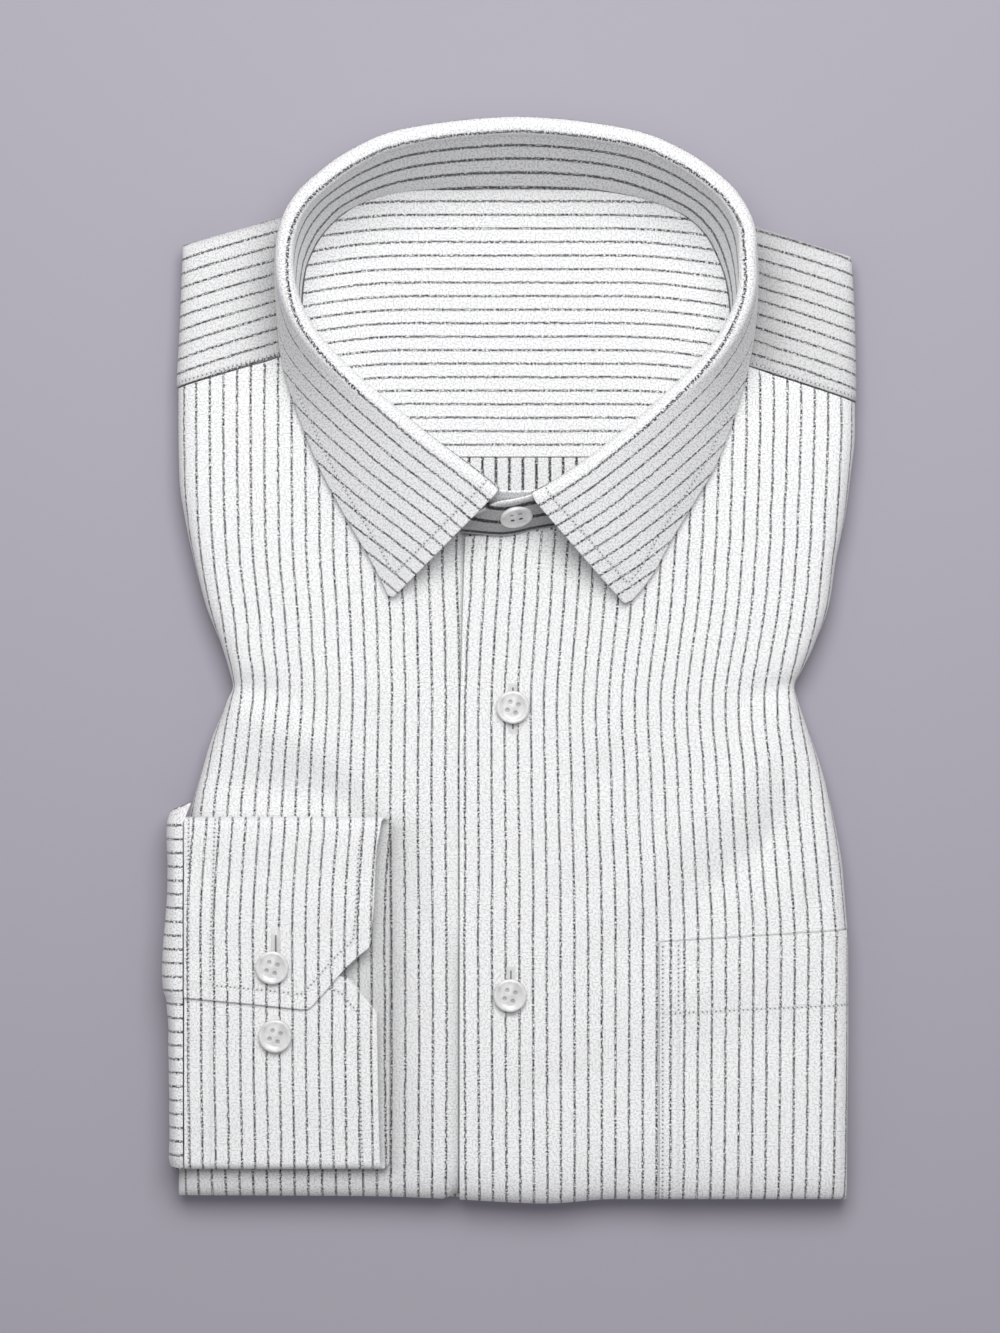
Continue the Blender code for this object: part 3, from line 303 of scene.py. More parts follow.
# From the left point round the back of the neck to the right point: the seam, the roll, the edge.
collarRows = [collarRow(*row) for row in (
    (-4.7, 46.6, 18.4, -3.7, 59.3, 40.0, -41.4, 21.3, 20.2),
    (-11.7, 47.3, 18.2, -9.9, 64.1, 41.5, -46.7, 32.5, 20.2),
    (-21.5, 50.0, 17.8, -18.8, 70.6, 42.5, -54.7, 46.5, 20.2),
    (-33.4, 56.4, 17.5, -29.2, 78.3, 43.5, -62.4, 60.5, 20.2),
    (-48.2, 68.3, 17.0, -41.2, 88.1, 44.5, -68.0, 72.0, 20.0),
    (-59.4, 81.6, 16.4, -52.5, 97.8, 45.5, -71.9, 82.5, 19.6),
    (-67.5, 95.0, 15.6, -61.8, 106.9, 46.5, -75.7, 93.1, 18.8),
    (-72.1, 109.1, 14.6, -69.6, 117.1, 47.3, -79.1, 105.4, 17.8),
    (-73.5, 123.2, 13.4, -74.1, 128.4, 48.0, -80.8, 121.3, 16.6),
    (-72.5, 136.0, 12.2, -75.1, 139.3, 48.6, -81.4, 137.9, 15.6),
    (-69.1, 145.5, 11.2, -74.0, 147.5, 49.1, -80.3, 148.7, 15.2),
    (-63.8, 153.0, 10.5, -70.9, 154.7, 49.5, -77.8, 157.4, 13.0),
    (-55.4, 159.7, 10.0, -64.7, 161.5, 49.8, -71.0, 167.0, 9.0),
    (-41.3, 164.7, 9.5, -52.0, 170.7, 50.0, -57.0, 176.6, 8.0),
    (-24.4, 166.1, 9.2, -34.2, 177.6, 50.0, -37.0, 184.0, 8.0),
    (2.7, 165.8, 9.0, 2.5, 181.4, 50.0, 2.7, 187.6, 8.0),
    (29.1, 165.8, 9.2, 38.5, 177.6, 50.0, 42.0, 183.8, 8.0),
    (45.9, 163.3, 9.5, 57.0, 170.7, 50.0, 62.0, 176.0, 8.0),
    (60.7, 157.6, 10.0, 70.1, 161.5, 49.8, 75.8, 166.0, 9.0),
    (69.1, 150.5, 10.5, 75.9, 154.7, 49.5, 82.0, 156.4, 13.0),
    (73.3, 143.1, 11.2, 79.0, 147.5, 49.1, 85.2, 146.9, 15.2),
    (76.8, 133.1, 12.2, 79.4, 138.6, 48.6, 86.3, 136.1, 15.6),
    (78.1, 121.5, 13.4, 79.1, 127.4, 48.0, 85.7, 120.2, 16.6),
    (77.0, 108.4, 14.6, 75.0, 116.1, 47.3, 83.5, 105.4, 17.8),
    (73.1, 94.3, 15.6, 67.5, 105.1, 46.5, 79.9, 92.0, 18.9),
    (65.7, 80.9, 16.4, 58.6, 95.9, 45.5, 76.1, 80.1, 19.6),
    (55.5, 68.3, 17.0, 48.0, 86.0, 44.5, 71.1, 67.5, 20.0),
    (42.2, 57.1, 17.5, 37.0, 76.8, 43.5, 64.5, 56.3, 20.2),
    (28.9, 50.8, 17.8, 25.3, 67.9, 42.5, 56.1, 42.3, 20.2),
    (17.7, 47.6, 18.2, 14.9, 61.3, 41.5, 49.1, 29.4, 20.2),
    (9.6, 46.2, 18.6, 7.7, 57.6, 40.0, 40.7, 19.2, 20.2))]
lastRow = len(collarRows) - 1
backRow = 15
basePoints = [Vector(row[0:3]) for row in collarRows]
foldPoints = [Vector(row[3:6]) for row in collarRows]
hemPoints = [Vector(row[6:9]) for row in collarRows]
# The band's ends past the leaf: the left one runs under, the right one over it.
underLap = [((14.0, 50.2, 19.4), (15.0, 60.6, 35.5)), ((5.0, 48.2, 19.4), (6.5, 58.9, 38.2))]
overLap = [((1.0, 44.3, 20.3), (1.0, 55.9, 36.8)), ((-5.5, 44.0, 20.3), (-5.4, 54.7, 35.2)),
           ((-18.0, 45.4, 20.3), (-16.5, 49.5, 29.0))]

# lapDim is painted shade on the band's lap between the leaves, fading out from dimTo to dimEnds of its
# height
band = {"wall": 0.9, "belowRoll": 1.9, "bow": 0.8, "rows": 26, "columns": 300,
        "ends": (0.0, 0.01, 0.025, 0.05, 0.09), "firstColumn": 0.15, "seamMargin": 1.0,
        "lapFrom": 27.0, "lapTo": 29.5, "lapStripes": 1.17, "lapBase": 11.2, "rollCloth": 0.4,
        "underStripe": 0.9, "underFrom": 1.5, "underTo": 3.0, "lapDim": 0.5, "dimTo": 0.9,
        "dimEnds": 0.97, "weight": 0.22, "lapWeight": 0.6}
leaf = {"wall": 0.9, "rollRadius": 2.3, "rollDepth": 1.5, "rollSteps": 15,
        "rollStart": (0.0, 0.1, 0.25, 0.5), "bulge": 1.6, "sideBulge": 0.1, "bulgeFrom": 2.0,
        "bulgeTo": 7.0, "tipCut": 1.8, "tipReach": 0.24, "rows": 30, "columns": 290,
        "ends": (0.0, 0.012, 0.03, 0.055, 0.09), "firstColumn": 0.14, "steepFrom": 6.5,
        "steepTo": 13.0, "planStripes": 1.08, "stitchIn": 5.5, "hemStitchIn": 6.0}
wayStep = 0.05     # how far either side of a place on the collar its direction is taken
# how far in from the roll's inner edge its first stripe is, from the left point to the right one
rollStripe = smoothCurve([(0.0, 6.4), (0.5, 6.2), (2.0, 5.5), (3.5, 5.1), (5.0, 4.5), (7.0, 4.0),
                          (8.7, 2.9), (11.0, 2.2), (15.0, 1.8), (19.0, 2.2), (21.0, 2.8),
                          (23.0, 3.3), (25.0, 4.2), (26.5, 4.5), (28.0, 4.9), (29.5, 5.6),
                          (30.0, 5.8)])
# how many millimetres of the band's cloth show between its roll and its seam
bandCloth = smoothCurve([(-2.0, 11.0), (0.0, 11.0), (5.0, 15.0), (9.0, 16.5), (11.0, 17.0),
                         (13.4, 18.4), (15.0, 19.9), (17.0, 17.9), (19.0, 17.0), (21.0, 16.5),
                         (25.0, 15.0), (30.0, 11.0), (33.0, 11.0)])
placket = {"lift": 1.2, "flatToX": 15.0, "liftEndsX": 32.0, "wave": 0.9, "waveY": -125.0,
           "waveReach": 42.0, "underlapX": 3.0, "underlapDrop": 0.6, "dropFrom": 6.0, "dropTo": 0.5,
           "tuck": 2.0, "tuckFrom": 6.0, "tuckTo": 0.8, "hemY": -189.0}
# the under front's ripple beside the placket's edge
ripple = {"fromEdge": 4.5, "width": 4.0, "y": -128.0, "length": 30.0, "height": 0.5}


def outwardAt(points, position):
    # the plan direction away from the neck
    before = along(points, max(position - wayStep, 0.0))
    after = along(points, min(position + wayStep, len(points) - 1))
    way = (after - before).to_2d().normalized()
    return Vector((-way.y, way.x, 0.0))


def neckline(position):
    # the fronts' and the yoke's edge, against the outside of the band
    base = along(basePoints, position)
    fold = along(foldPoints, position)
    outward = outwardAt(basePoints, position)
    rise = max(crownHeight(base.y) - base.z, 0.0) / (fold.z - base.z)
    leaning = max((fold - base).dot(outward), 0.0) * rise
    return base + outward * (band["seamMargin"] + leaning)


def placketLift(x, y):
    lift = placket["lift"] * (1.0 - ease(x, placket["flatToX"], placket["liftEndsX"]))
    nearEdge = 1.0 - ease(x - placketX(y), 0.0, placket["flatToX"])
    nearWave = 1.0 - ease(abs(y - placket["waveY"]), 0.0, placket["waveReach"])
    return lift + placket["wave"] * nearEdge * nearWave


foldPart = 0.7         # the most of a panel's line that its fold takes
clothUnder = 2.2       # millimetres of cloth in each millimetre of height turned under a fold
# ways round a rounded fold, from its flat side, then how far the cloth turns under it
foldTurns = [math.radians(degrees) for degrees in (90, 86, 81, 75, 69, 62, 54, 45, 35, 24, 12, 0)]
foldTucks = [(0.12, 0.5), (0.5, 0.95), (1.1, 1.25), (1.9, 1.42), (2.7, 1.5), (3.0, 1.52),
             (3.15, 1.53), (3.23, 1.54)]


def foldInsets(reach):
    return [reach * (1.0 - math.cos(turn) ** (2.0 / body["squareness"])) for turn in foldTurns]


def panelLine(inner, outer, count):
    # plan points from a panel's inner edge to a fold and under it, each with its drop
    inner = Vector(inner).to_2d()
    outer = Vector(outer).to_2d()
    way = inner - outer
    length = way.length
    way.normalize()
    reach = min(body["sideRoll"], foldPart * length)
    line = [(outer + way * (length - near), 0.0) for near in edgeSteps + (firstStep,)]
    line += [(outer + way * blend(length - firstStep, reach, step / count), 0.0)
             for step in range(1, count)]
    line += [(outer + way * inset, 0.0) for inset in foldInsets(reach)]
    line += [(outer + way * inset, drop) for inset, drop in foldTucks]
    return line


def panelGrid(lines, height, cloth, bottom=None):
    # lifts plan lines to the body, turns their ends under its folds, and gives each its cloth
    rows = [[(point, drop, 0.0) for point, drop in line] for line in lines]
    if bottom:
        last = lines[-1]
        for inset in foldInsets(body["bottomRoll"])[1:]:
            rows.append([(Vector((point.x, bottom(point.x) + inset)), drop, 0.0)
                         for point, drop in last])
        for inset, under in foldTucks:
            rows.append([(Vector((point.x, bottom(point.x) + inset)), drop, under)
                         for point, drop in last])
    points = []
    coordinates = []
    for row in rows:
        pointRow = []
        clothRow = []
        for point, drop, under in row:
            turned = max(drop, under)
            z = body["foldMiddle"] - turned if turned > 0.0 else height(point.x, point.y)
            pointRow.append((point.x, point.y, z))
            u, v = cloth(point.x, point.y)
            clothRow.append((u + clothUnder * drop, v - clothUnder * under))
        points.append(pointRow)
        coordinates.append(clothRow)
    return np.array(points), np.array(coordinates)


def gridNormals(points, outward):
    normals = np.cross(np.gradient(points, axis=0), np.gradient(points, axis=1)) * outward
    return normals / np.maximum(np.linalg.norm(normals, axis=2, keepdims=True), 1e-9)


def stripeStretch(points, cloth):
    # how many millimetres of a grid each millimetre of its cloth covers across the stripes, less 1
    ways = [np.gradient(points, axis=axis) for axis in (0, 1)]
    rates = [np.gradient(cloth[:, :, 0], axis=axis) for axis in (0, 1)]
    alongs = [(first * second).sum(axis=2) for first, second in
              ((ways[0], ways[0]), (ways[0], ways[1]), (ways[1], ways[1]))]
    area = np.maximum(alongs[0] * alongs[2] - alongs[1] ** 2, 1e-12)
    slope = (rates[0] ** 2 * alongs[2] - 2.0 * rates[0] * rates[1] * alongs[1]
             + rates[1] ** 2 * alongs[0]) / area
    least, most = 0.8, 6.0
    return np.clip(1.0 / np.sqrt(np.maximum(slope, 1e-6)), least, most) - 1.0


def borderDistance(points):
    # how far each point of a grid is from its nearest border, along the grid's lines
    ways = []
    for axis in (0, 1):
        steps = np.linalg.norm(np.diff(points, axis=axis), axis=2)
        start = np.zeros_like(steps[:1] if axis == 0 else steps[:, :1])
        run = np.concatenate([start, np.cumsum(steps, axis=axis)], axis=axis)
        total = run[-1:] if axis == 0 else run[:, -1:]
        ways += [run, total - run]
    return np.minimum.reduce(ways)


def addPiece(name, mesh, material):
    mesh.shade_smooth()
    piece = bpy.data.objects.new(name, mesh)
    bpy.context.scene.collection.objects.link(piece)
    mesh.materials.append(material)
    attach(piece, "root")
    return piece


def clothShell(name, points, cloth, wall, outward=1.0, centred=False, marks=None):
    # a closed thin shell on a grid of points, its edges rounded, with its cloth coordinates
    # and the marks its material reads: how far each point is from a seam row or an edge laid on
    # it, how much its stripes are stretched, how heavy they are and how much painted shade it gets
    rows, columns = points.shape[:2]
    normals = gridNormals(points, outward)
    radius = wall / 2.0
    near = np.clip(borderDistance(points) / radius, 0.0, 1.0)
    half = (radius * np.sqrt(1.0 - (1.0 - near) ** 2))[:, :, None]
    middle = points if centred else points - normals * radius
    outer = middle + normals * half
    inner = middle - normals * half
    outerIndex = np.arange(rows * columns).reshape(rows, columns)
    innerIndex = outerIndex.copy()
    inside = (rows - 2) * (columns - 2)
    innerIndex[1:-1, 1:-1] = rows * columns + np.arange(inside).reshape(rows - 2, columns - 2)
    vertices = np.concatenate([outer.reshape(-1, 3), inner[1:-1, 1:-1].reshape(-1, 3)])
    vertices = (vertices + np.array(modelShift)) * mm

    def quads(index, flip):
        corners = [index[:-1, :-1], index[1:, :-1], index[1:, 1:], index[:-1, 1:]]
        if flip:
            corners.reverse()
        return np.stack(corners, axis=2).reshape(-1, 4)

    outerFirst = outward < 0.0
    faces = np.concatenate([quads(outerIndex, outerFirst), quads(innerIndex, not outerFirst)])
    places = np.concatenate([quads(outerIndex, outerFirst), quads(outerIndex, not outerFirst)])
    mesh = bpy.data.meshes.new(name)
    mesh.from_pydata(vertices.tolist(), [], faces.tolist())
    corners = cloth.reshape(-1, 2)[places.reshape(-1)].astype(np.float32)
    mesh.uv_layers.new(name="cloth").data.foreach_set("uv", corners.reshape(-1))
    for mark, values in (marks or {}).items():
        if mark in ("fromSeam", "fromEdge"):
            values = np.clip(values, -seamReach, seamReach) + 2.0 * seamReach
        values = np.concatenate([values.reshape(-1), values[1:-1, 1:-1].reshape(-1)])
        mesh.attributes.new(mark, "FLOAT", "POINT").data.foreach_set("value", values)
    mesh.update()
    piece = addPiece(name, mesh, shirtCloth)
    return piece


stitch = {"pitch": 1.55, "length": 1.05, "radius": 0.15, "hole": 0.34, "sides": 6, "proud": 0.3,
          "holeLift": 0.03, "fewest": 3}
# a stitch's rings: the share of its length where each is, and its size
barRings = [(0.0, 0.45), (0.16, 0.95), (0.84, 0.95), (1.0, 0.45)]
seamReach = 5.0        # how far from a seam or a laid edge the cloth's marks still count
# which colour each face takes: thread, or the painted shade of a hole
threadShade = {"thread": 0.0, "hole": 1.0}


class SewnWork:
    # threads, and discs of painted shade at the needle holes, gathered and then joined as one piece
    def __init__(self):
        self.points = []
        self.faces = []
        self.shades = []

    def addBar(self, start, end, normal, radius):
        way = (end - start).normalized()
        side = way.cross(normal).normalized()
        rise = side.cross(way)
        first = len(self.points)
        sides = stitch["sides"]
        for share, size in barRings:
            middle = start.lerp(end, share) + rise * radius * stitch["proud"]
            for step in range(sides):
                turn = 2.0 * math.pi * step / sides
                arm = side * math.cos(turn) + rise * math.sin(turn)
                self.points.append(middle + arm * radius * size)
        for ring in range(len(barRings) - 1):
            low = first + ring * sides
            for step in range(sides):
                after = (step + 1) % sides
                self.faces.append((low + step, low + after, low + sides + after, low + sides + step))
        self.faces.append(tuple(first + step for step in reversed(range(sides))))
        top = first + (len(barRings) - 1) * sides
        self.faces.append(tuple(top + step for step in range(sides)))
        self.shades += [threadShade["thread"]] * (sides * (len(barRings) - 1) + 2)

    # a flat dark disc of painted shade, for a needle hole or a buttonhole's slit
    def addHoleShade(self, middle, normal, radius):
        side = normal.orthogonal().normalized()
        other = normal.cross(side)
        first = len(self.points)
        for step in range(stitch["sides"]):
            turn = 2.0 * math.pi * step / stitch["sides"]
            self.points.append(middle + normal * stitch["holeLift"]
                               + (side * math.cos(turn) + other * math.sin(turn)) * radius)
        self.faces.append(tuple(first + step for step in range(stitch["sides"])))
        self.shades.append(threadShade["hole"])

    def addRow(self, path):
        # lockstitches along a path of places and normals, with a painted shade disc at the hole between
        # each two
        places = [Vector(place) for place, normal in path]
        run = runAlong(places)
        count = int(run[-1] / stitch["pitch"])
        if count < stitch["fewest"]:
            return

        def spot(distance):
            index = min(max(bisect_right(run, distance) - 1, 0), len(run) - 2)
            share = (distance - run[index]) / max(run[index + 1] - run[index], 1e-6)
            normal = Vector(path[index][1])
            return places[index].lerp(places[index + 1], share), normal

        step = run[-1] / count
        gap = (step - stitch["length"]) / 2.0
        for index in range(count):
            start, normal = spot(index * step + gap)
            end, normal = spot((index + 1) * step - gap)
            self.addBar(start, end, normal, stitch["radius"])
            middle, normal = spot((index + 1) * step)
            self.addHoleShade(middle, normal, stitch["hole"])

    def finish(self, name):
        mesh = bpy.data.meshes.new(name)
        mesh.from_pydata([place(point) for point in self.points], [], self.faces)
        layer = mesh.uv_layers.new(name="cloth")
        for face, shade in zip(mesh.polygons, self.shades):
            for loop in face.loop_indices:
                layer.data[loop].uv = (0.0, shade)
        piece = addPiece(name, mesh, sewingThread)
        return piece


def levelPaths(points, normals, field, clear):
    # the lines on a grid along which a field crosses zero, each a list of places and normals
    above = field > 0.0
    corner = above[:-1, :-1]
    mixed = (corner != above[1:, :-1]) | (corner != above[:-1, 1:]) | (corner != above[1:, 1:])
    mixed &= clear[:-1, :-1] & clear[1:, 1:]
    links = {}
    for row, column in zip(*np.nonzero(mixed)):
        corners = [(row, column), (row + 1, column), (row + 1, column + 1), (row, column + 1)]
        sides = [tuple(sorted(side)) for side in zip(corners, corners[1:] + corners[:1])]
        crossed = [side for side in sides if above[side[0]] != above[side[1]]]
        if len(crossed) == 2:
            links.setdefault(crossed[0], []).append(crossed[1])
            links.setdefault(crossed[1], []).append(crossed[0])
    paths = []
    while links:
        ends = [side for side, near in links.items() if len(near) == 1]
        side = ends[0] if ends else next(iter(links))
        path = []
        while side:
            first, second = side
            share = field[first] / (field[first] - field[second])
            path.append((blend(points[first], points[second], share), normals[first]))
            onward = [near for near in links.pop(side) if near in links]
            side = onward[0] if onward else None
        paths.append(path)
    return paths


def nearestField(fields):
    # at each point, the field that is closest to zero there
    stack = np.array(fields)
    return np.take_along_axis(stack, np.abs(stack).argmin(axis=0)[None], axis=0)[0]


def raised(points, wall):
    # the upper face of a shell whose grid is its lower face
    return points + gridNormals(points, 1.0) * wall


def sewRows(points, rows):
    # stitch rows where each (field, clear) pair of a grid crosses zero
    normals = gridNormals(points, 1.0)
    work = SewnWork()
    for field, clear in rows:
        for path in levelPaths(points, normals, field, clear):
            work.addRow(path)
    return work


# Each front's plan: the stretch of the collar that its top edge follows, from the shoulder seam,
# then the plan points at its front corner, and where the seam meets the side fold.
frontPlan = {"left": {"start": 7.0, "end": 0.0, "corner": [(placket["underlapX"], 42.6)],
                      "seamEndY": 95.7, "columns": 76},
             "right": {"start": 23.2, "end": 30.0, "corner": [(1.0, 44.6), (-5.5, 44.4), (-15.6, 43.4)],
                       "seamEndY": 90.7, "columns": 82},
             "neckSteps": 40, "neckGrid": 2.0, "aboveRoll": 2.0}


def frontLines(side):
    # plan lines of a front: fanned along the neck, then level down to the bottom fold
    plan = frontPlan[side]
    path = [neckline(position).to_2d()
            for position in spread(plan["start"], plan["end"], frontPlan["neckSteps"])]
    path += [Vector(point) for point in plan["corner"]]
    run = runAlong(path)
    corner = path[-1]
    lines = []
    for distance in crowded(run[-1], int(run[-1] / frontPlan["neckGrid"]))[:-len(edgeSteps)]:
        x = float(np.interp(distance, run, [point.x for point in path]))
        y = float(np.interp(distance, run, [point.y for point in path]))
        outerY = blend(plan["seamEndY"], corner.y, distance / run[-1])
        lines.append(panelLine((x, y), (sideX[side](outerY), outerY), plan["columns"]))
    lowest = bottomY(0.0) + body["bottomRoll"] + frontPlan["aboveRoll"]
    for y in spread(corner.y, lowest, int((corner.y - lowest) / body["grid"])):
        inner = placketX(y) if side == "right" else placket["underlapX"]
        lines.append(panelLine((inner, y), (sideX[side](y), y), plan["columns"]))
    return lines


def upperFrontHeight(x, y):
    return bodyHeight(x, y) + placketLift(x, y)


def underTuck(x):
    # how far the under front is drawn up where the placket covers its bottom fold
    edge = placketX(placket["hemY"])
    return placket["tuck"] * ease(x, edge - placket["tuckFrom"], edge - placket["tuckTo"])


def lowerFrontHeight(x, y):
    edge = placketX(y)
    rise = bump(x, edge - ripple["fromEdge"], ripple["width"]) * bump(y, ripple["y"], ripple["length"])
    sink = placket["underlapDrop"] * ease(x, edge - placket["dropFrom"], edge - placket["dropTo"])
    return bodyHeight(x, y - underTuck(x)) - sink + rise * ripple["height"]


def lowerFrontBottom(x):
    return bottomY(x) + underTuck(x)


# The yoke's lines: each one's place along the collar, then the x and y of its end at the folds.
yokeStations = [Vector(row) for row in (
    (7.0, -116.7, 96.0), (7.7, -116.0, 111.0), (8.5, -115.3, 127.0), (9.6, -114.6, 146.0),
    (10.3, -97.0, 151.0), (11.0, -79.7, 156.0), (12.1, -64.0, 166.0), (13.4, -42.0, 173.5),
    (15.0, 2.0, 177.5), (16.6, 46.0, 173.5), (18.0, 68.0, 165.0), (19.2, 84.0, 153.5),
    (20.2, 102.0, 147.5), (20.9, 119.8, 142.0), (21.9, 120.9, 127.0), (22.6, 121.4, 109.0),
    (23.2, 121.6, 91.0))]

yokeForm = {"middleX": 2.5, "lines": 16, "columns": 16, "stitchIn": 1.3, "levelFrom": -40.0,
            "levelFall": -9.8, "widen": 0.0035}


def yokeLines():
    stations = []
    for start, end in zip(yokeStations, yokeStations[1:]):
        stations += [start.lerp(end, share) for share in spread(0.0, 1.0, yokeForm["lines"] + 1)[:-1]]
    stations.append(yokeStations[-1])
    return [panelLine(neckline(station.x), (station.y, station.z), yokeForm["columns"])
            for station in stations]


# The yoke's stripes: one stripe's place beside the collar, its slope and how that steepens.
yokeStripes = {"left": {"x": -83.1, "y": 130.9, "slope": 0.28, "steepen": 0.0009, "pitch": 4.865},
               "right": {"x": 89.8, "y": 125.8, "slope": 0.295, "steepen": 0.00125, "pitch": 4.88}}
# painted shade on the shoulders: a base for each side and more beside the collar
yokeShade = {"left": 0.09, "right": 0.18, "byCollar": 0.22, "reach": 12.0}


def yokeCloth(x, y):
    onLeft = x < yokeForm["middleX"]
    look = yokeStripes["left" if onLeft else "right"]
    out = (look["x"] - x) if onLeft else (x - look["x"])
    fall = yokeForm["levelFall"]
    if out > yokeForm["levelFrom"]:
        fall = look["slope"] * out + look["steepen"] * out * out
    edge = min(x - sideX["left"](y), sideX["right"](y) - x)
    u = (y - look["y"] + fall) * stripePitch / (look["pitch"] + yokeForm["widen"] * max(out, 0.0))
    return (u, x + math.copysign(sideExtra(edge), x))


def yokePaintedShade(points):
    # painted shade on the shoulders, deeper beside the collar
    x = points[:, :, 0]
    onLeft = x < yokeForm["middleX"]
    out = np.where(onLeft, yokeStripes["left"]["x"] - x, x - yokeStripes["right"]["x"])
    byCollar = yokeShade["byCollar"] * np.exp(-np.maximum(out, 0.0) / yokeShade["reach"])
    return np.where(onLeft, yokeShade["left"], yokeShade["right"]) + byCollar


def yokeSeams(points):
    ends = np.minimum(nearestOn(points[0], points)[0], nearestOn(points[-1], points)[0])
    return [(ends - yokeForm["stitchIn"], wholeGrid(points))]


def leafSection(position):
    # from inside the roll, over the top and down to the edge
    fold = along(foldPoints, position)
    hem = along(hemPoints, position)
    outward = outwardAt(foldPoints, position)
    middle = fold + outward * leaf["rollRadius"] - up * leaf["rollDepth"]
    reach = (hem - middle).to_2d().length
    lastTurn = math.atan2(reach, middle.z - hem.z)
    roll = []
    for turn in spread(math.pi, lastTurn, leaf["rollSteps"]):
        arm = outward * math.cos(turn) + up * math.sin(turn)
        roll.append(middle + arm * leaf["rollRadius"])
    points = [roll[0].lerp(roll[1], share) for share in leaf["rollStart"]] + roll[1:]
    lift = outward * math.cos(lastTurn) + up * math.sin(lastTurn)
    fromTip = min(position, lastRow - position)
    bulge = blend(leaf["bulge"], leaf["sideBulge"], ease(fromTip, leaf["bulgeFrom"], leaf["bulgeTo"]))
    length = (hem - roll[-1]).length
    cut = leaf["tipCut"] * (1.0 - ease(fromTip, 0.0, leaf["tipReach"]))
    distances = spread(0.0, length - cut - firstStep, leaf["rows"])[1:]
    distances += [length - cut - near for near in reversed(edgeSteps)]
    for distance in distances:
        share = distance / length
        points.append(roll[-1].lerp(hem, share) + lift * bulge * arch(share))
    return points


def nearestOn(path, points):
    # distance from each point to a path, and how far along the path that is
    beyond = 60        # the path is carried on straight past both ends by this many of its steps
    spacing = 0.25
    batch = 1000
    dense = [path[0] + (path[0] - path[1]) * step for step in range(beyond, 0, -1)]
    dense += list(path)
    dense += [path[-1] + (path[-1] - path[-2]) * step for step in range(1, beyond + 1)]
    dense = np.array(dense)
    run = np.concatenate([[0.0], np.cumsum(np.linalg.norm(np.diff(dense, axis=0), axis=1))])
    fine = np.arange(0.0, run[-1], spacing)
    line = np.stack([np.interp(fine, run, dense[:, axis]) for axis in range(3)], axis=1)
    flat = points.reshape(-1, 3)
    distance = np.zeros(len(flat))
    reach = np.zeros(len(flat))
    for start in range(0, len(flat), batch):
        gaps = np.linalg.norm(flat[start:start + batch, None, :] - line[None, :, :], axis=2)
        nearest = gaps.argmin(axis=1)
        distance[start:start + batch] = gaps[np.arange(len(nearest)), nearest]
        reach[start:start + batch] = fine[nearest]
    return distance.reshape(points.shape[:2]), reach.reshape(points.shape[:2])


def leafGrid():
    positions = closeEnded(leaf["ends"], leaf["firstColumn"], lastRow, leaf["columns"])
    points = np.array([[tuple(point) for point in leafSection(position)] for position in positions])
    rollEnd = leaf["rollSteps"] + len(leaf["rollStart"]) - 2
    cloth = np.zeros(points.shape[:2] + (2,))
    away, reach = nearestOn(points[:, rollEnd], points[:, rollEnd:])
    flatten = np.array([1.0, 1.0, 0.0])
    onPlan = nearestOn(points[:, rollEnd] * flatten, points[:, rollEnd:] * flatten)[0]
    # laid along the cloth behind the neck, and as seen from above towards the points
    steep = [ease(min(position, lastRow - position), leaf["steepFrom"], leaf["steepTo"])
             for position in positions]
    steep = np.array(steep)[:, None]
    away = away * steep + onPlan * leaf["planStripes"] * (1.0 - steep)
    steps = np.linalg.norm(np.diff(points[:, :rollEnd + 1], axis=1), axis=2)
    arc = np.concatenate([np.zeros((len(positions), 1)), np.cumsum(steps, axis=1)], axis=1)
    starts = np.array([rollStripe(position) for position in positions])[:, None]
    cloth[:, :rollEnd + 1, 0] = arc - starts
    cloth[:, :rollEnd + 1, 1] = reach[:, :1]
    nearRow = np.interp(reach, reach[:, 0], positions)
    starts = np.array([[rollStripe(row) for row in line] for line in nearRow])
    cloth[:, rollEnd:, 0] = arc[:, -1:] + away - starts
    cloth[:, rollEnd:, 1] = reach
    return points, cloth


def leafSeams(points):
    fronts = np.minimum(nearestOn(points[0], points)[0], nearestOn(points[-1], points)[0])
    hem = nearestOn(points[:, -1], points)[0]
    field = np.minimum(fronts - leaf["stitchIn"], hem - leaf["hemStitchIn"])
    return [(field, wholeGrid(points))]


def bandGrid():
    # from under the lap, round the back of the neck and over the lap, each column from the seam up
    bases = [Vector(base) for base, top in underLap] + basePoints + [Vector(base) for base, top in overLap]
    tops = [Vector(top) for base, top in underLap]
    tops += [fold - up * band["belowRoll"] for fold in foldPoints] + [Vector(top) for base, top in overLap]
    places = closeEnded(band["ends"], band["firstColumn"], len(bases) - 1, band["columns"])
    runs = runAlong([along(bases, position) for position in places])
    points = []
    cloth = []
    paintedShade = []
    weight = []
    for position, run in zip(places, runs):
        base = along(bases, position)
        top = along(tops, position)
        outward = outwardAt(bases, position)
        height = (top - base).length
        onLap = ease(position - len(underLap), band["lapFrom"], band["lapTo"])
        lapStripes = (top - base).to_2d().length * band["lapStripes"]
        stripes = blend(bandCloth(position - len(underLap)), lapStripes, onLap)
        atRoll = blend(band["rollCloth"], band["lapBase"] - lapStripes, onLap)
        atRoll += band["underStripe"] * (1.0 - ease(position, band["underFrom"], band["underTo"]))
        shares = [distance / height for distance in crowded(height, band["rows"])]
        points.append([tuple(base.lerp(top, share) + outward * band["bow"] * arch(share))
                       for share in shares])
        cloth.append([((1.0 - share) * stripes + atRoll, run) for share in shares])
        # painted shade on the lap between the leaves
        paintedShade.append([band["lapDim"] * onLap * (1.0 - ease(share, band["dimTo"], band["dimEnds"]))
                    for share in shares])
        weight.append([blend(band["weight"], band["lapWeight"], onLap)] * len(shares))
    return np.array(points), np.array(cloth), {"paintedShade": np.array(paintedShade), "weight": np.array(weight)}


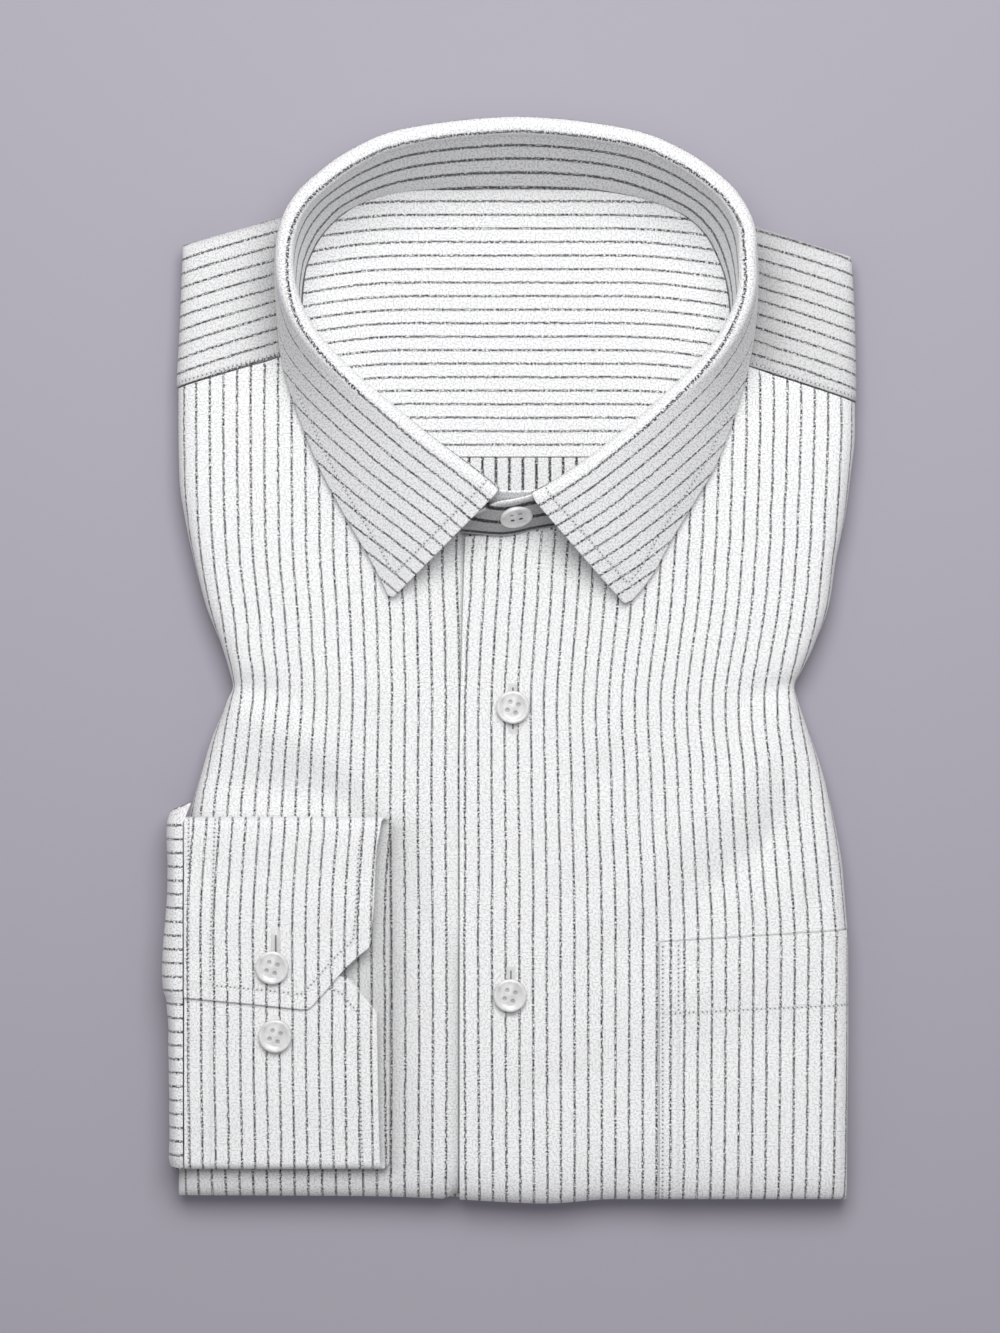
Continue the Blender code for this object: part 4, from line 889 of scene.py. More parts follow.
# the inside of the neck; backDim is an even painted shade on the back's inside strip
neck = {"floor": 8.2, "backRise": 1.0, "riseFromY": 120.0, "riseToY": 164.0, "risePower": 3.0,
        "belowRim": 1.2, "inside": 0.7, "topY": 165.7, "seamY": 71.9, "seamGap": 0.25, "endY": 49.0,
        "wall": 0.5, "columns": 60, "yokeRows": 56, "backRows": 14, "backDim": 0.1,
        "backWeight": 0.3}
# the first stripe of the inner yoke and of the back's inside, and how far apart they are
neckStripes = {"yokeFirstY": 161.76, "yokeSpacing": 4.756, "yokeMiddleX": 2.3, "backFirstX": -14.24,
               "backSpacing": 4.74}
neckLeft = smoothCurve([(row.baseY, row.baseX) for row in collarRows[:backRow]])
neckRight = smoothCurve([(row.baseY, row.baseX) for row in collarRows[backRow + 1:]])
neckRim = smoothCurve([(row.baseY, row.baseZ) for row in collarRows[:backRow]])
# how far the inner yoke's stripes bend down beside the band, by distance from the neck's middle
yokeBend = smoothCurve([(0.0, 0.0), (30.0, 0.0), (40.0, 0.1), (47.0, 0.35), (53.0, 0.8), (60.0, 1.6),
                        (67.0, 2.6), (71.0, 3.3), (74.0, 3.9), (77.0, 4.6)])


def neckFloor(x, y, left, right):
    across = abs(2.0 * (x - left) / (right - left) - 1.0)
    floor = neck["floor"] + neck["backRise"] * ease(y, neck["riseFromY"], neck["riseToY"])
    rim = max(neckRim(y) - neck["belowRim"], floor)
    return blend(floor, rim, across ** neck["risePower"])


def neckGrid(topY, endY, count, cloth):
    points = []
    coordinates = []
    for y in [topY - distance for distance in crowded(topY - endY, count)]:
        left = neckLeft(y) + neck["inside"]
        right = neckRight(y) - neck["inside"]
        xs = [left + distance for distance in crowded(right - left, neck["columns"])]
        points.append([(x, y, neckFloor(x, y, left, right)) for x in xs])
        coordinates.append([cloth(x, y) for x in xs])
    return np.array(points), np.array(coordinates)


def innerYokeCloth(x, y):
    bend = yokeBend(abs(x - neckStripes["yokeMiddleX"]))
    return ((y - neckStripes["yokeFirstY"] + bend) * stripePitch / neckStripes["yokeSpacing"], x)


def innerBackCloth(x, y):
    return ((x - neckStripes["backFirstX"]) * stripePitch / neckStripes["backSpacing"], y)


# backDim and mouthDim are painted shade on the cuff's inside, deeper from mouthDimFrom to mouthDimTo
# towards its mouth
cuff = {"wall": 0.9, "backUnderside": 18.3, "upperTop": 25.7, "lowerTop": 24.2, "dome": 0.8,
        "topFoldY": -54.4, "bottomFoldY": -177.4, "seamX": -113.5, "backMouthX": -42.0,
        "columns": 52, "firstColumn": 0.018, "ends": (0.0, 0.0016, 0.004, 0.0075, 0.012),
        "endSteps": (0.0, 0.1, 0.25, 0.5, 0.8), "evenFrom": 1.2, "rows": 40, "backRows": 60,
        "foldSteps": 13, "roughMouthX": -47.0, "endLift": 0.1, "endReach": 9.0, "mouthLift": 0.5,
        "mouthY": -85.0, "mouthReach": 24.0, "stripes": 4.56, "endStitchIn": 5.3,
        "sideStitchIn": 6.2, "seamStitchIn": 1.7, "innerRowX": -104.2, "innerRowLean": 1.6,
        "leanFromY": -100.0, "leanOver": 45.0, "rowSpare": 1.5, "endSpare": 0.4,
        "backDim": 0.15, "mouthDim": 0.24, "mouthDimFrom": 0.86, "mouthDimTo": 0.95}
cuffFold = namedtuple("cuffFold", "y lean width depth")
cuffFolds = [cuffFold(*row) for row in (
    (-62.0, 0.02, 6.0, 0.35), (-74.0, -0.05, 5.0, -0.4), (-88.0, 0.06, 6.0, 0.35),
    (-101.0, 0.1, 5.0, -0.35), (-127.0, 0.03, 5.0, 0.3), (-136.0, -0.04, 4.5, -0.3),
    (-152.0, 0.05, 8.0, 0.3), (-169.0, 0.0, 5.0, -0.25))]
cuffUneven = {"middleX": -80.0, "alongX": 0.04, "alongY": 0.03, "place": 5.0, "least": 0.75,
              "more": 0.5}
# The cuff's right edge and its mitred ends.
upperMouthX = smoothCurve([(-56.0, -44.6), (-60.0, -45.2), (-66.0, -46.3), (-85.0, -47.2),
                           (-99.9, -48.2), (-125.0, -48.2)])
lowerMouthX = smoothCurve([(-180.0, -44.6), (-177.0, -45.0), (-169.0, -45.3), (-141.6, -45.9),
                           (-124.0, -46.1), (-108.0, -46.1)])
upperEndY = straightCurve([(-113.5, -117.3), (-102.0, -118.4), (-91.0, -119.4), (-80.0, -120.5),
                           (-72.0, -121.4), (-69.0, -121.3), (-64.5, -116.6), (-56.6, -107.5),
                           (-51.0, -102.4), (-48.6, -100.6), (-47.0, -99.2)])
lowerEndY = straightCurve([(-113.5, -108.0), (-64.0, -108.5), (-56.6, -110.8), (-51.0, -117.6),
                           (-47.0, -122.4), (-45.0, -124.0)])
cuffFirstStripe = smoothCurve([(-58.8, -110.2), (-69.3, -111.1), (-83.2, -111.9), (-97.1, -112.2),
                               (-118.0, -112.0), (-139.0, -112.05), (-159.8, -111.7),
                               (-178.0, -111.5)])
upperRadius = (cuff["upperTop"] - cuff["backUnderside"]) / 2.0
lowerRadius = (cuff["lowerTop"] - cuff["backUnderside"]) / 2.0
cuffTopFold = cuff["topFoldY"] - upperRadius
cuffBottomFold = cuff["bottomFoldY"] + lowerRadius


def cuffDome(y):
    return cuff["dome"] * arch((y - cuffBottomFold) / (cuffTopFold - cuffBottomFold))


def cuffWave(x, y):
    # soft waves across the laid cuff, uneven from side to side
    wave = sum(fold.depth * bump(y - fold.lean * (x - cuffUneven["middleX"]), fold.y, fold.width)
               for fold in cuffFolds)
    where = Vector((x * cuffUneven["alongX"], y * cuffUneven["alongY"], cuffUneven["place"]))
    return wave * (cuffUneven["least"] + cuffUneven["more"] * noise.noise(where))


def cuffFoldPoints(share, start, end, foldY, radius, top, mouthX):
    # round one of the cuff's folds, from one angle to the other
    points = []
    for degrees in spread(start, end, cuff["foldSteps"])[1:-1]:
        turn = math.radians(degrees)
        back = blend(mouthX, cuff["backMouthX"], 0.5 - 0.5 * math.sin(turn))
        points.append((blend(cuff["seamX"], back, share), foldY + math.cos(turn) * radius,
                       top - radius + math.sin(turn) * radius))
    return points


def cuffColumn(share):
    # once round the cuff, at a share of its depth
    roughX = blend(cuff["seamX"], cuff["roughMouthX"], share)
    upperEnd = upperEndY(roughX)
    lowerEnd = lowerEndY(roughX)
    mouth = cuff["mouthLift"] * share ** 3
    points = []
    ys = [upperEnd + near for near in cuff["endSteps"]]
    for y in ys + spread(upperEnd + cuff["evenFrom"], cuffTopFold, cuff["rows"]):
        nearEnd = 1.0 - ease(y - upperEnd, 0.0, cuff["endReach"])
        lift = mouth * bump(y, cuff["mouthY"], cuff["mouthReach"])
        lift += cuffWave(roughX, y) + cuff["endLift"] * nearEnd * (1.0 - share ** 4)
        points.append((blend(cuff["seamX"], upperMouthX(y), share), y,
                       cuff["upperTop"] + cuffDome(y) + lift))
    points += cuffFoldPoints(share, 90.0, -90.0, cuffTopFold, upperRadius, cuff["upperTop"],
                             upperMouthX(cuffTopFold))
    points += [(blend(cuff["seamX"], cuff["backMouthX"], share), y, cuff["backUnderside"])
               for y in spread(cuffTopFold, cuffBottomFold, cuff["backRows"])]
    points += cuffFoldPoints(share, -90.0, -270.0, cuffBottomFold, lowerRadius, cuff["lowerTop"],
                             lowerMouthX(cuffBottomFold))
    ys = spread(cuffBottomFold, lowerEnd - cuff["evenFrom"], cuff["rows"])
    for y in ys + [lowerEnd - near for near in reversed(cuff["endSteps"])]:
        points.append((blend(cuff["seamX"], lowerMouthX(y), share), y,
                       cuff["lowerTop"] + cuffDome(y) + cuffWave(roughX, y)))
    return points


def cuffGrid():
    shares = closeEnded(cuff["ends"], cuff["firstColumn"], 1.0, cuff["columns"])
    points = np.array([cuffColumn(share) for share in shares])
    steps = np.linalg.norm(np.diff(points, axis=1), axis=2)
    run = np.concatenate([np.zeros((len(shares), 1)), np.cumsum(steps, axis=1)], axis=1)
    atFold = points[0, :, 1].argmax()
    cloth = np.zeros(points.shape[:2] + (2,))
    cloth[:, :, 1] = run - run[:, atFold:atFold + 1]
    firstStripe = np.vectorize(cuffFirstStripe)(points[:, :, 1])
    cloth[:, :, 0] = (points[:, :, 0] - firstStripe) * stripePitch / cuff["stripes"]
    # painted shade on the cuff's inside layer, deeper near its mouth
    inside = np.clip((cuff["lowerTop"] - points[:, :, 2]) / 2.0 - 1.0, 0.0, 1.0)
    nearMouth = np.array([ease(share, cuff["mouthDimFrom"], cuff["mouthDimTo"]) for share in shares])
    return points, cloth, inside * blend(cuff["backDim"], cuff["mouthDim"], nearMouth[:, None])


def cuffSeams(points):
    half = points.shape[1] // 2
    upper = np.zeros(points.shape[:2], bool)
    upper[:, :half] = True
    fromEnd = np.where(upper, nearestOn(points[:, 0], points)[0], nearestOn(points[:, -1], points)[0])
    fromSide = nearestOn(points[-1], points)[0]
    fromSeam = nearestOn(points[0], points)[0]
    plain = np.minimum(fromEnd - cuff["endStitchIn"], fromSide - cuff["sideStitchIn"])
    x = points[:, :, 0]
    overEnd = np.vectorize(upperEndY)(x)
    shown = np.where(upper, x > cuff["innerRowX"] - cuff["rowSpare"],
                     points[:, :, 1] < overEnd - cuff["endSpare"])
    rising = np.clip((points[:, :, 1] - cuff["leanFromY"]) / cuff["leanOver"], 0.0, 1.0)
    innerRow = x - cuff["innerRowX"] - cuff["innerRowLean"] * rising
    aboveEnd = upper & (fromEnd > cuff["endStitchIn"]) & (points[:, :, 2] > cuff["lowerTop"])
    return [(plain, shown), (innerRow, aboveEnd),
            (fromSeam - cuff["seamStitchIn"], wholeGrid(points))]


sleeve = {"wall": 0.5, "lowest": 0.4, "clearance": 0.3, "topY": -52.6, "bottomY": -177.4,
          "rows": 94, "flapFromY": -57.0, "flapOver": 2.6, "flapUp": 3.4, "flapDown": 1.5,
          "ruffle": 0.35, "ruffleY": 0.09, "ruffleDown": 0.6, "rufflePlace": 1.0, "pinch": -0.9,
          "pinchY": -118.0, "pinchReach": 1.6, "pinchTaper": 0.6, "stripes": 4.79}
sleeveRow = namedtuple("sleeveRow", "y outer seamZ")
sleeveRows = [sleeveRow(*row) for row in (
    (-52.6, -118.6, 21.5), (-57.0, -119.6, 24.2), (-79.4, -119.4, 25.2), (-98.0, -120.8, 25.6),
    (-108.0, -121.4, 25.6), (-116.0, -120.6, 25.4), (-121.0, -119.6, 24.4), (-136.0, -119.1, 24.4),
    (-168.0, -118.7, 24.2), (-174.0, -118.9, 23.4), (-177.4, -118.3, 21.0))]
sleeveOuter = tableCurve(sleeveRows, "y", "outer")
sleeveSeamZ = tableCurve(sleeveRows, "y", "seamZ")
# the sleeve's section from the cuff's seam to the table: shares of the way out and down
sleeveProfile = [Vector(row) for row in (
    (0.0, 0.0, 0.0), (0.45, 0.03, 0.0), (0.8, 0.13, 0.0), (0.96, 0.27, 0.0), (1.0, 0.45, 0.0),
    (0.98, 0.7, 0.0), (0.8, 0.95, 0.0))]
# places down that section, closer at both of its ends
sleevePlaces = [0.0, 0.02, 0.05, 0.09, 0.15] + spread(0.22, 5.9, 40) + [5.93, 5.96, 5.98, 6.0]


def sleeveGrid():
    length = sleeve["topY"] - sleeve["bottomY"]
    points = []
    cloth = []
    for distance in reversed(crowded(length, sleeve["rows"])):
        y = sleeve["bottomY"] + distance
        row = []
        for position in sleevePlaces:
            share = along(sleeveProfile, position)
            where = Vector((y * sleeve["ruffleY"], position * sleeve["ruffleDown"],
                            sleeve["rufflePlace"]))
            ruffle = sleeve["ruffle"] * noise.noise(where) * min(position, 1.0)
            pinch = sleeve["pinch"] * bump(y, sleeve["pinchY"], sleeve["pinchReach"])
            pinch *= min(position * sleeve["pinchTaper"], 1.0)
            flap = ease(y, sleeve["flapFromY"], sleeve["topY"]) * (1.0 - share.x)
            x = blend(cuff["seamX"] - sleeve["clearance"], sleeveOuter(y), share.x)
            z = blend(sleeveSeamZ(y), sleeve["lowest"], share.y)
            row.append((x - ruffle - pinch * 0.5 + sleeve["flapOver"] * flap,
                        y + sleeve["flapUp"] * flap,
                        z + ruffle * 0.5 + pinch * (1.0 - share.y) - sleeve["flapDown"] * flap))
        across = (y - sleeve["topY"]) * stripePitch / sleeve["stripes"]
        points.append(row)
        cloth.append([(across, run) for run in runAlong([Vector(point) for point in row])])
    return np.array(points), np.array(cloth)


pocket = {"wall": 0.5, "lift": 0.72, "leftX": 52.6, "foldClearance": 1.2, "topLeftY": -98.6,
          "topRightY": -94.4, "mouthLift": 0.25, "mouthShare": 0.08, "sewnDown": 0.15,
          "sewnReach": 5.0, "evenFrom": 1.3, "columns": 42, "rows": 52, "foldEnd": 0.02,
          "shares": [0.0, 0.001, 0.0027, 0.005, 0.0087, 0.0133], "evenShare": 0.03,
          "lowestY": -189.4, "hemY": -123.5, "hemSlope": 0.047, "sideStitchIn": 1.0,
          "innerStitchIn": 6.5, "edgeOut": 0.2, "mouthEndX": 118.0}


def laidPocket(x, y, share):
    # a point of the pocket, moved out from the front under it
    near = 0.2
    slopeX = (bodyHeight(x + near, y) - bodyHeight(x - near, y)) / (2.0 * near)
    slopeY = (bodyHeight(x, y + near) - bodyHeight(x, y - near)) / (2.0 * near)
    outward = Vector((-slopeX, -slopeY, 1.0)).normalized()
    sewn = 1.0 - ease(x - pocket["leftX"], 0.0, pocket["sewnReach"])
    mouth = (1.0 - ease(share, 0.0, pocket["mouthShare"])) * pocket["mouthLift"]
    lift = pocket["lift"] * (1.0 - pocket["sewnDown"] * sewn) + mouth * (1.0 - sewn)
    return tuple(Vector((x, y, bodyHeight(x, y))) + outward * lift)


def pocketGrid():
    leftX = pocket["leftX"]
    rightX = sideX["right"](pocket["topLeftY"]) - pocket["foldClearance"]
    xs = [leftX + near for near in edgeSteps + (firstStep,)]
    xs += spread(xs[-1] + pocket["evenFrom"], rightX - body["sideRoll"], pocket["columns"])
    xs += [rightX - inset for inset in foldInsets(body["sideRoll"])[1:-1] + [pocket["foldEnd"]]]
    lowest = pocket["lowestY"] + body["bottomRoll"]
    tops = [blend(pocket["topLeftY"], pocket["topRightY"], (x - leftX) / (rightX - leftX)) for x in xs]
    rows = [[(x, blend(top, lowest, share), share) for x, top in zip(xs, tops)]
            for share in pocket["shares"] + spread(pocket["evenShare"], 1.0, pocket["rows"])]
    rows += [[(x, bottomY(x) + pocket["foldClearance"] + inset, 1.0) for x in xs]
             for inset in foldInsets(body["bottomRoll"] - pocket["foldClearance"])[1:]]
    points = [[laidPocket(x, y, share) for x, y, share in row] for row in rows]
    cloth = [[frontCloth("right", x, y) for x, y, share in row] for row in rows]
    return np.array(points), np.array(cloth)


# How much painted shade the under front gets beside the cuff and the lower placket, and how the
# placket's painted shadow line widens under the collar.
besideLook = {"cuffDim": 0.42, "cuffReach": 5.0, "placketDim": 0.28, "placketReach": 2.0,
              "lineOut": 0.2, "widen": 1.5, "widenFromY": 10.0, "widenOver": 30.0}
besideCuffY = (-184.0, -176.0, -60.0, -52.0)     # from nothing to full, and from full to nothing
besidePlacketY = (-110.0, -90.0)


def besideLaid(points):
    # painted shade on the under front: a shadow line along the placket, soft shade by the cuff and lower
    # placket
    x = points[:, :, 0]
    y = points[:, :, 1]
    fromPlacket = np.vectorize(placketX)(y) - x
    widening = np.clip((y - besideLook["widenFromY"]) / besideLook["widenOver"], 0.0, 1.0)
    wedge = 1.0 + besideLook["widen"] * widening
    fromCuff = np.maximum(x - cuff["backMouthX"], 0.0)
    eased = np.vectorize(ease)
    byCuff = eased(y, *besideCuffY[:2]) * (1.0 - eased(y, *besideCuffY[2:]))
    byPlacket = 1.0 - eased(y, *besidePlacketY)
    reach = np.maximum(fromPlacket, 0.0) / besideLook["placketReach"]
    paintedShade = (besideLook["cuffDim"] * np.exp(-fromCuff / besideLook["cuffReach"]) * byCuff
           + besideLook["placketDim"] * np.exp(-reach) * byPlacket)
    return {"fromEdge": (fromPlacket - besideLook["lineOut"]) / wedge, "paintedShade": paintedShade}


def aroundPocket(points):
    # how far a front's points are outside the pocket's left side and mouth, where a shadow line is painted
    x = points[:, :, 0]
    slope = (pocket["topRightY"] - pocket["topLeftY"]) / (pocket["mouthEndX"] - pocket["leftX"])
    mouth = pocket["topLeftY"] + (x - pocket["leftX"]) * slope
    return np.maximum(pocket["leftX"] - x, points[:, :, 1] - mouth) - pocket["edgeOut"]


def pocketSeams(points):
    x = points[:, :, 0]
    y = points[:, :, 1]
    fromLeft = x - pocket["leftX"]
    hem = pocket["hemY"] + fromLeft * pocket["hemSlope"]
    return [(fromLeft - pocket["sideStitchIn"], wholeGrid(points)),
            (fromLeft - pocket["innerStitchIn"], y > hem),
            (y - hem, fromLeft > pocket["sideStitchIn"])]


# The folded layers: how far they stay inside the body's plan, and where each one lies in height.
layers = {"inset": 0.6, "notch": 2.3, "notchPower": 1.6, "corner": 1.6, "wander": 0.45,
          "wanderStep": 0.03, "waist": 0.5, "waistY": -40.0, "waistReach": 60.0,
          "wanderApart": 7.0, "turns": 9, "heights": [(0.0, 3.5), (3.7, 7.3)]}
# the stretches of its plan between the corners
sidePart = spread(120.0, -150.0, 170)
bottomPart = spread(-104.0, 106.0, 130)
topPart = spread(102.0, -97.0, 120)
# where each corner of the plan is, and which way in is
layerCorner = namedtuple("layerCorner", "x y wayX wayY")
layerCorners = [layerCorner(*row) for row in (
    (-116.6, -188.0, 1.0, 1.0), (118.2, -189.4, -1.0, 1.0), (119.8, 142.0, -1.0, -1.0),
    (-114.6, 146.0, 1.0, -1.0))]


def layerOutline():
    # the folded layers' plan, anticlockwise from the upper left, each place with its way in
    lowLeft, lowRight, highRight, highLeft = [
        [(row.x + row.wayX * layers["corner"], row.y + row.wayY * layers["corner"], row.wayX, row.wayY)]
        for row in layerCorners]
    left = [(sideX["left"](y), y, 1.0, 0.0) for y in sidePart]
    bottom = [(x, bottomY(x), 0.0, 1.0) for x in bottomPart]
    right = [(sideX["right"](y), y, -1.0, 0.0) for y in reversed(sidePart)]
    top = [(x, shoulderY(x), 0.0, -1.0) for x in topPart]
    return left + lowLeft + bottom + lowRight + right + highRight + top + highLeft


def makeFoldedLayers(name):
    plan = layerOutline()
    profile = []
    for index, (low, high) in enumerate(layers["heights"]):
        middle = (low + high) / 2.0
        radius = (high - low) / 2.0
        for degrees in spread(-90.0, 90.0, layers["turns"]):
            turn = math.radians(degrees)
            inset = layers["inset"] + layers["notch"] * (1.0 - math.cos(turn)) ** layers["notchPower"]
            profile.append((middle + radius * math.sin(turn), inset, index))
    arcs = [0.0]
    for lower, upper in zip(profile, profile[1:]):
        arcs.append(arcs[-1] + math.dist(lower[:2], upper[:2]))
    skin = bmesh.new()
    rings = []
    clothAt = {}
    for (z, inset, index), arc in zip(profile, arcs):
        ring = []
        upWall = arc - arcs[-1] / 2.0
        for x, y, wayX, wayY in plan:
            where = Vector((x * layers["wanderStep"], y * layers["wanderStep"],
                            layers["wanderApart"] * index))
            reach = inset + layers["wander"] * noise.noise(where)
            reach += layers["waist"] * index * bump(y, layers["waistY"], layers["waistReach"])
            vertex = skin.verts.new(place((x + wayX * reach, y + wayY * reach, z)))
            ring.append(vertex)
            clothAt[vertex] = (x + wayX * upWall, y + wayY * upWall)
        rings.append(ring)
    for lower, upper in zip(rings, rings[1:]):
        for index in range(len(lower)):
            after = (index + 1) % len(lower)
            skin.faces.new((lower[index], lower[after], upper[after], upper[index]))
    skin.faces.new(list(reversed(rings[0])))
    skin.faces.new(rings[-1])
    bmesh.ops.triangulate(skin, faces=[face for face in skin.faces if len(face.verts) > 4])
    bmesh.ops.recalc_face_normals(skin, faces=skin.faces)
    layer = skin.loops.layers.uv.new("cloth")
    for face in skin.faces:
        for loop in face.loops:
            loop[layer].uv = clothAt[loop.vert]
    mesh = bpy.data.meshes.new(name)
    skin.to_mesh(mesh)
    skin.free()
    piece = addPiece(name, mesh, shirtCloth)
    return piece


# The buttons: where the middle of each one's underside is, the way it faces, how far it is turned
# and how thick it is.
buttonRow = namedtuple("buttonRow", "name x y z faceX faceY faceZ turn thickness")
buttonRows = [buttonRow(*row) for row in (
    ("button_collar", 2.2, 50.7, 29.5, 0.18, -0.82, 0.545, 12.0, 1.7),
    ("button_front_1", 1.2, -16.2, 19.9, 0.0, 0.0, 1.0, -19.0, 2.3),
    ("button_front_2", 0.2, -116.9, 19.9, 0.0, 0.0, 1.0, -17.0, 2.3),
    ("button_cuff_1", -82.6, -106.7, 27.0, 0.0, 0.0, 1.0, -18.0, 2.3),
    ("button_cuff_2", -81.6, -130.6, 25.5, 0.0, 0.0, 1.0, -20.0, 2.3))]
button = {"sides": 96, "holeAway": 2.12, "holeRadius": 0.78, "holeDepth": 0.55, "holeEdge": 0.3,
          "holeLip": 0.1}
topRadii = spread(0.12, 3.4, 26) + spread(3.5, 5.3, 14) + [5.4, 5.5, 5.6, 5.67, 5.72, 5.75]
# how far the top is below the rim, by distance from the middle
buttonTop = smoothCurve([(0.0, 0.46), (2.4, 0.5), (3.4, 0.48), (4.2, 0.3), (4.8, 0.03), (5.1, 0.0),
                         (5.4, 0.06), (5.6, 0.22), (5.72, 0.5), (5.75, 0.8)])
buttonSide = [(5.75, 0.75), (5.68, 0.42), (5.5, 0.2), (5.2, 0.06), (4.8, 0.0), (3.0, 0.0), (1.0, 0.0)]


def makeButton(row):
    # a turned disc with a low rim and four holes
    skin = bmesh.new()
    holeOut = button["holeAway"] / math.sqrt(2.0)
    profile = [(radius, row.thickness - buttonTop(radius), True) for radius in topRadii]
    profile += [(radius, height, False) for radius, height in buttonSide]
    rings = []
    for radius, height, top in profile:
        ring = []
        for step in range(button["sides"]):
            turn = 2.0 * math.pi * step / button["sides"]
            x = radius * math.cos(turn)
            y = radius * math.sin(turn)
            away = math.hypot(abs(x) - holeOut, abs(y) - holeOut)
            inside = 1.0 - ease(away, button["holeRadius"] - button["holeEdge"],
                                button["holeRadius"] + button["holeLip"])
            drop = button["holeDepth"] * inside if top else 0.0
            ring.append(skin.verts.new((x, y, height - drop)))
        rings.append(ring)
    for outer, inner in zip(rings[1:], rings):
        for step in range(button["sides"]):
            after = (step + 1) % button["sides"]
            skin.faces.new((inner[step], outer[step], outer[after], inner[after]))
    skin.faces.new(rings[0])
    skin.faces.new(list(reversed(rings[-1])))
    bmesh.ops.triangulate(skin, faces=[face for face in skin.faces if len(face.verts) > 4])
    facing = up.rotation_difference(Vector((row.faceX, row.faceY, row.faceZ)))
    turned = facing.to_matrix().to_4x4() @ Matrix.Rotation(math.radians(row.turn), 4, "Z")
    mesh = bpy.data.meshes.new(row.name + "_pearl")
    layer = skin.loops.layers.uv.new("cloth")
    for face in skin.faces:
        for loop in face.loops:
            loop[layer].uv = (loop.vert.co.x, loop.vert.co.y)
    # how deep each point lies in a hole, for the painted shade there
    pit = skin.verts.layers.float.new("inHole")
    for vert in skin.verts:
        high = row.thickness - buttonTop(vert.co.to_2d().length)
        vert[pit] = min(max((high - vert.co.z) / button["holeDepth"], 0.0), 1.0)
    for vert in skin.verts:
        vert.co = place(turned @ vert.co + Vector((row.x, row.y, row.z)))
    skin.to_mesh(mesh)
    skin.free()
    piece = addPiece(mesh.name, mesh, buttonPearl)
    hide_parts(row.name)


buttonhole = {"reach": 1.65, "slit": 0.3, "pitch": 0.4, "thread": 0.2, "bars": 4}
holeRow = namedtuple("holeRow", "x topY bottomY")
frontHoles = [holeRow(1.2, -7.9, -25.3), holeRow(0.5, -106.9, -124.2)]
cuffHole = holeRow(-81.4, -92.2, -108.5)


def sewButtonhole(work, hole, height):
    # a slit, drawn as a row of painted shade discs, with threads across both sides of it and a bar at each
    # end
    def spot(x, y):
        return Vector((x, y, height(x, y)))

    reach = buttonhole["reach"]
    bars = [hole.topY - step * buttonhole["pitch"] for step in range(buttonhole["bars"])]
    bars += [hole.bottomY + step * buttonhole["pitch"] for step in range(buttonhole["bars"])]
    for y in bars:
        work.addBar(spot(hole.x - reach, y), spot(hole.x + reach, y), up, buttonhole["thread"])
    inset = buttonhole["bars"] * buttonhole["pitch"]
    count = int((hole.topY - hole.bottomY - 2.0 * inset) / buttonhole["pitch"])
    for y in spread(hole.topY - inset, hole.bottomY + inset, count):
        for side in (-1.0, 1.0):
            work.addBar(spot(hole.x + side * buttonhole["slit"], y), spot(hole.x + side * reach, y),
                        up, buttonhole["thread"])
    for y in spread(hole.topY - inset, hole.bottomY + inset, 2 * count):
        work.addHoleShade(spot(hole.x, y), up, buttonhole["slit"])


class Shade:
    # a node's output, with arithmetic that adds Math nodes
    def __init__(self, tree, socket=None):
        self.tree = tree
        self.socket = socket

    def node(self, kind, settings=None, inputs=None, output=0):
        made = self.tree.nodes.new(kind)
        for name, setting in (settings or {}).items():
            setattr(made, name, setting)
        for name, value in (inputs or {}).items():
            if isinstance(value, Shade):
                self.tree.links.new(value.socket, made.inputs[name])
            else:
                made.inputs[name].default_value = value
        return Shade(self.tree, made.outputs[output])

    def calculate(self, operation, *values):
        return self.node("ShaderNodeMath", {"operation": operation}, dict(enumerate(values)))

    def __add__(self, other):
        return self.calculate("ADD", self, other)

    def __radd__(self, other):
        return self.calculate("ADD", other, self)

    def __sub__(self, other):
        return self.calculate("SUBTRACT", self, other)

    def __rsub__(self, other):
        return self.calculate("SUBTRACT", other, self)

    def __mul__(self, other):
        return self.calculate("MULTIPLY", self, other)

    def __rmul__(self, other):
        return self.calculate("MULTIPLY", other, self)

    def __truediv__(self, other):
        return self.calculate("DIVIDE", self, other)

    def __rtruediv__(self, other):
        return self.calculate("DIVIDE", other, self)

    def __abs__(self):
        return self.calculate("ABSOLUTE", self)

    def fraction(self):
        return self.calculate("FRACT", self)

    def ramp(self, start, end):
        # 0 at start and 1 at end, smooth between
        return self.node("ShaderNodeMapRange", {"interpolation_type": "SMOOTHSTEP"},
                         {"Value": self, "From Min": start, "From Max": end,
                          "To Min": 0.0, "To Max": 1.0})

    def mixColour(self, first, second):
        return self.node("ShaderNodeMix", {"data_type": "RGBA"},
                         {"Factor": self, 6: first, 7: second}, output=2)


def newMaterial(name, constants):
    # a material whose shader has these fixed values; returns it, its shader and a Shade to build on
    material = bpy.data.materials.new(name)
    material.use_nodes = True
    shader = material.node_tree.nodes["Principled BSDF"]
    for key, value in constants.items():
        shader.inputs[key].default_value = value
    return material, shader, Shade(material.node_tree)


def feed(shade, shader, key):
    shade.tree.links.new(shade.socket, shader.inputs[key])


